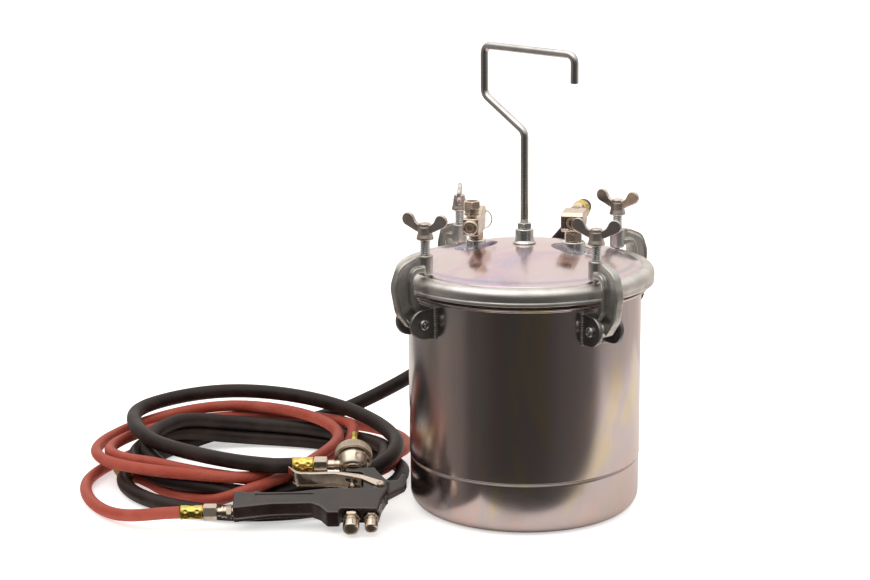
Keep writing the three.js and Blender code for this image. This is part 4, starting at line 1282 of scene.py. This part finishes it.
def make_gun_body():
    main = rounded([
        (-118, 24, 2), (-80, 29.4, 60), (-40, 30, 8), (-31, 25, 4), (-24, 16, 3), (-12, 16, 2), (-11, 22, 2),
        (27, 20.5, 4), (30, 36, 10), (36, 50, 4), (34, 53, 2), (-24, 53, 8), (-60, 48, 30), (-90, 48, 3),
        (-96, 51, 1.5), (-100, 48.4, 1.5), (-118, 50, 2)], 6)
    front_arm = rounded([
        (11, 45), (36, 45), (36, 66, 6), (26, 80, 5), (22, 87, 2), (-7, 87, 1.5), (-7, 81, 1), (11, 79.5, 4)],
        5)
    lug = rounded([
        (30, 44), (36, 47, 4), (53, 60, 6), (55, 66, 4), (55, 79, 2.5), (50, 80, 2.5), (46, 71, 4), (36, 70, 3),
        (33, 74, 2), (28, 66)], 5)
    belly = rounded([(-117, 22.9), (-80, 28.2, 60), (-40, 28.9), (-38, 40), (-117, 40)], 6)
    shapes = [prism(main, -10, 10, 2.4, 4), prism(front_arm, -7, 7, 1.4), prism(lug, -4, 4, 1.2)]
    for r, x in ((9.9, 0), (8.6, 20)):
        shapes.append(along_y(lathe([(0, 22), (r, 22), (r, 50), (r - 3, 53), (0, 53)], 64), x))
    shapes += [prism(belly, -6.5, 6.5, 4.5), shifted(rod(5.6, -7.6, 7.6), *PIVOT)]
    label_recess = prism(rounded([(-97, 32.5, 1.5), (-38, 32.5, 1.5), (-38, 45, 1.5), (-97, 45, 1.5)], 4), 9.3,
                         12)
    bores = [along_y(rod(3, 36, 100, 40)), along_y(rod(9.4, 10, 23, 64)), along_y(rod(7.6, 10, 23, 64), 20),
             along_x(rod(4.95, -127, -105), 0, 32, -2), pivot_hole()]
    in_gun("gun_casting", carved(cast(shapes, 0.75, 4), label_recess, *bores), BLACK_ENAMEL, "gun_body",
           sharp=60)
    gland = bored(hexagon(12.5, 53.1, 55.6, 0.7), 2.4, 50, 60)
    in_gun("gun_packing_nut", along_y(gland), GUN_NICKEL, "gun_body", stands_for=False)


def make_gun_head():
    cone = lathe([
        (0, 87.3), (9.8, 87.3), (10.4, 87.8), (10.4, 89.2), (11.6, 89.6), (13.0, 90.6), (14.1, 92.6),
        (14.8, 95.4), (15.3, 98.4), (15.9, 100.6), (16.6, 101.6), (16.9, 102.2), (16.9, 103.0), (15.6, 103.2),
        (15.6, 103.8), (16.6, 104.1), (15.8, 104.6), (16.6, 105.1), (15.8, 105.6), (0, 105.9)], 128)
    pipe = lathe([
        (0, -26), (4.6, -26), (5.2, -25.3), (5.2, -19), (4.7, -18.6), (4.7, -17.6), (5.2, -17.2), (5.2, -13),
        (6.0, -12), (6.6, -8), (0, -6)], 64)
    chamber = merged(along_y(carved(cone, rod(2.6, 80, 100, 32))), along_x(pipe, 0, 98, 1))
    in_gun("gun_fluid_chamber", chamber, GUN_NICKEL, "gun_fluid_head")


def make_air_cap():
    knurls = 84

    def knurled(a, z):
        end = min(1, max(0, min(z - 107.0, 117.8 - z) / 0.8))
        groove = 0.28 * abs(math.sin(a * knurls / 2)) if 108.2 < z < 116.4 else 0.0
        return 19.4 - 0.9 * (1 - end) ** 2 - groove

    heights = [106.3, 106.5, 106.8, 107.1, 107.5, 108.0, 108.25, 108.6, 112, 116, 116.35, 116.7, 117.2, 117.6,
               117.9, 118.2]
    bore = rod(4.2, 100, 130)
    ring = carved(polar(knurled, heights, 504), bore, rod(14.5, 100, 106.9, 96))
    face = lathe([(0, 117), (13.4, 117), (13.4, 118.9), (12.6, 119.6), (10.6, 120.2), (4.2, 120.6), (0, 120.6)])
    horn = along_y(lathe([(0, 117), (3.2, 117), (3.0, 124.6), (2.4, 125.6), (0, 126)], 40))
    cap = merged(along_y(merged(ring, carved(face, bore))), shifted(horn, z=-9.5), shifted(horn, z=9.5))
    in_gun("gun_cap_ring", cap, CAP_NICKEL, "gun_air_cap", sharp=32)
    nozzle = merged(
        lathe([(0, 107), (3.3, 107), (3.3, 140), (2.9, 140.6), (0, 140.6)], 48),
        hexagon(6.4, 121.5, 126.5, 0.4), thread(3.25, 139.5, 148.2, 1.0, 0.45),
        lathe([(0, 147.6), (2.7, 147.6), (2.6, 149.0), (2.1, 149.4), (0, 149.4)], 40))
    in_gun("gun_spray_nozzle", along_y(nozzle), BRASS, "gun_fluid_nozzle")


def strip(line, thickness, low, high, bevel=0.35):
    """Bent strip along a line in the XY plane."""
    middle = evenly(np.array([(x, y, 0) for x, y in rounded(line, 10)]), 1.0)
    way = np.gradient(middle, axis=0)
    way /= np.linalg.norm(way, axis=1)[:, None]
    side = np.stack([-way[:, 1], way[:, 0]], axis=1) * thickness / 2
    edge = [*(middle[:, :2] + side), *(middle[:, :2] - side)[::-1]]
    return prism([tuple(p) for p in edge], low, high, bevel, 2)


def make_trigger():
    plate = strip([(9, 72.6), (-18, 78.2, 40), (-41, 77.2, 20), (-57, 77.4, 14), (-65.2, 87.4)], 1.5, -8.9, 8.9)
    slot = block((-7, 60, -2.5), (5, 90, 2.5), 0.4)
    ear = rounded([
        (30.5, 63.4, 2), (8, 74, 30), (-18, 79, 40), (-41, 78, 20), (-55.6, 78.6, 12), (-64.9, 87.5),
        (-65.4, 86.9), (-57.4, 75.9, 12), (-41, 74.9, 20), (-18, 75.3, 40), (8, 68.6, 30), (26, 56.4, 2)], 8)
    ear += arc(*PIVOT, 4, -125, 55, 12)
    flanges = [carved(prism(ear, low, low + 1.5, 0.4, 2), pivot_hole()) for low in (-8.9, 7.4)]
    in_gun("gun_trigger_strip", merged(carved(plate, slot), *flanges), GUN_NICKEL, "gun_trigger", sharp=44)
    screw = lathe([
        (0, -10.6), (3.0, -10.6), (3.6, -10.0), (3.6, -9.2), (2.3, -9.2), (2.3, 9.2), (3.6, 9.2), (3.6, 10.0),
        (3.0, 10.6), (0, 10.6)], 48)
    slit = block((-2.4, -0.45, 9.9), (2.4, 0.45, 12), 0.05)
    cross = [placed(slit, Matrix.Rotation(a, 4, "Z")) for a in (0.5, 2.07)]
    in_gun("gun_pivot_screw", shifted(carved(screw, *cross), *PIVOT), GUN_NICKEL, "gun_trigger_pivot")
    needle = merged(
        lathe([(0, 44), (1.7, 44), (2, 44.4), (2, 97), (1.2, 98), (0, 98)], 40),
        hoop([(1.9, 62), (4.2, 62), (4.6, 62.4), (4.6, 63.6), (4.0, 64), (4.0, 64.5), (4.6, 64.9), (4.6, 66.1),
              (4.2, 66.5), (1.9, 66.5)], 48))
    in_gun("gun_needle_rod", along_y(needle), GUN_NICKEL, "gun_needle")


def adjuster(radius, start, neck, hex_flats):
    """Knob with a domed end, a grooved neck and a hexagonal collar, along Y."""
    grip = lathe([
        (0, 0), (radius * 0.45, 0.1), (radius * 0.74, 0.6), (radius * 0.92, 1.5), (radius, 2.9), (radius, 9.6),
        (radius - 0.4, 10.0), (radius - 0.4, 10.5), (radius, 10.9), (radius, 13.6), (radius - 0.5, 14.3),
        (neck + 0.2, 14.7), (neck, 15.4), (neck, 21), (0, 21)])
    return along_y(merged(grip, hexagon(hex_flats, 16.2, 20.6, 1.0)), y=start)


make_gun_body()
make_gun_head()
make_air_cap()
make_trigger()
in_gun("gun_fluid_adjuster", adjuster(8.2, 0, 6.4, 15.6), NICKEL, "gun_fluid_knob")
in_gun("gun_fan_adjuster", shifted(adjuster(6.6, 1.2, 5.2, 12.6), 20), NICKEL, "gun_fan_knob")


# ---------------------------------------------------------------- floor, light and world
# Metres, degrees and watts.
FLOOR_REACH = 16
TABLE_OUTLINE = [(-0.45, -0.09), (-0.135, -0.09), (-0.135, -0.190), (0.6, -0.190), (0.6, 0.5), (-0.45, 0.5)]
WARM = (1.0, 0.93, 0.86)
ROOM_MIDDLE = Vector((-0.1, 0, 0.2))
SOFTBOX_ELEVATION = 34
SOFTBOX_DISTANCE = 1.6
SOFTBOXES = [("left_softbox", -60, 0.5, 1.0, 3), ("right_softbox", 80, 0.7, 1.3, 6)]
# Brightness of the room round about, by the angle from the side that the picture is taken from.
ROOM = [(-180, 0.92), (-158, 0.88), (-138, 0.26), (-118, 0.21), (-104, 0.16), (-92, 0.24), (-70, 0.18),
        (-55, 0.085), (-25, 0.05), (10, 0.054), (45, 0.10), (66, 0.14), (82, 0.40), (98, 0.50), (130, 0.60),
        (180, 0.92)]


def flat_sheet(name, corners, height):
    mesh = bpy.data.meshes.new(name)
    mesh.from_pydata([(x, y, height) for x, y in corners], [], [tuple(range(len(corners)))])
    return linked(name, mesh)


def make_floor():
    """White paper, and the lit part of the table that the plated metal mirrors."""
    reach = FLOOR_REACH
    floor = flat_sheet("floor", [(-reach, -reach), (reach, -reach), (reach, reach), (-reach, reach)], -0.0004)
    paper = Look("paper", (0.92, 0.92, 0.92), roughness=0.8)
    paper.set("Specular IOR Level", 0.1)
    paper.set("Emission Color", (1, 1, 1, 1))
    paper.set("Emission Strength", 0.5)
    paper.bump(paper.noise(300, 3), 0.02)
    floor.data.materials.append(paper.material)
    floor.visible_glossy = False
    table = flat_sheet("lit_table", TABLE_OUTLINE, -0.0002)
    table.data.materials.append(Look("table", (0.82, 0.80, 0.78), roughness=0.9).material)
    table.rotation_euler.z = VIEW_AZIMUTH
    for ray in ("visible_camera", "visible_diffuse", "visible_shadow", "visible_transmission"):
        setattr(table, ray, False)


def make_lights():
    sun = bpy.data.lights.new("overhead", "SUN")
    sun.energy = 0.7
    sun.color = WARM
    sun.angle = math.radians(70)
    above = linked("overhead", sun)
    above.rotation_euler = (math.radians(14), math.radians(-12), 0)
    for name, azimuth, wide, tall, power in SOFTBOXES:
        data = bpy.data.lights.new(name, "AREA")
        data.shape = "RECTANGLE"
        data.size, data.size_y = wide, tall
        data.energy = power
        data.color = WARM
        light = linked(name, data)
        light.visible_glossy = False
        way = direction(math.radians(azimuth), math.radians(SOFTBOX_ELEVATION))
        light.location = ROOM_MIDDLE + way * SOFTBOX_DISTANCE
        light.rotation_euler = way.to_track_quat("Z", "Y").to_euler()


def make_world():
    """Pale room that is dark on the side that the picture is taken from, as a studio is."""
    world = bpy.data.worlds.new("room")
    bpy.context.scene.world = world
    world.use_nodes = True
    tree = world.node_tree

    def node(kind, **settings):
        made = tree.nodes.new(kind)
        for key, value in settings.items():
            setattr(made, key, value)
        return made

    coords = node("ShaderNodeTexCoord").outputs["Generated"]
    parts = []
    for way in (direction(VIEW_AZIMUTH + math.pi / 2, 0), direction(VIEW_AZIMUTH, 0)):
        dot = node("ShaderNodeVectorMath", operation="DOT_PRODUCT")
        tree.links.new(coords, dot.inputs[0])
        dot.inputs[1].default_value = way
        parts.append(dot.outputs["Value"])
    angle = node("ShaderNodeMath", operation="ARCTAN2")
    tree.links.new(parts[0], angle.inputs[0])
    tree.links.new(parts[1], angle.inputs[1])
    turn = node("ShaderNodeMapRange")
    turn.inputs["From Min"].default_value = -math.pi
    turn.inputs["From Max"].default_value = math.pi
    tree.links.new(angle.outputs[0], turn.inputs["Value"])
    round_about = node("ShaderNodeValToRGB")
    round_about.color_ramp.interpolation = "EASE"
    points = round_about.color_ramp.elements
    while len(points) < len(ROOM):
        points.new(0.5)
    for point, (degrees, light) in zip(points, ROOM):
        point.position = (degrees + 180) / 360
        point.color = (light, light * 0.92, light * 0.85, 1)
    tree.links.new(turn.outputs["Result"], round_about.inputs["Fac"])
    height = node("ShaderNodeSeparateXYZ")
    tree.links.new(coords, height.inputs[0])
    up_share = node("ShaderNodeMapRange")
    up_share.inputs["From Min"].default_value = 0.25
    up_share.inputs["From Max"].default_value = 0.75
    tree.links.new(height.outputs["Z"], up_share.inputs["Value"])
    mixed = node("ShaderNodeMix", data_type="RGBA")
    tree.links.new(up_share.outputs["Result"], mixed.inputs[0])
    color_a, color_b = [socket for socket in mixed.inputs if socket.type == "RGBA"]
    tree.links.new(round_about.outputs["Color"], color_a)
    color_b.default_value = (0.92, 0.89, 0.85, 1)
    background = tree.nodes["Background"]
    mixed_color = next(socket for socket in mixed.outputs if socket.type == "RGBA")
    tree.links.new(mixed_color, background.inputs["Color"])
    background.inputs["Strength"].default_value = 1.0


make_floor()
make_lights()
make_world()
bpy.context.scene.view_settings.view_transform = "Standard"
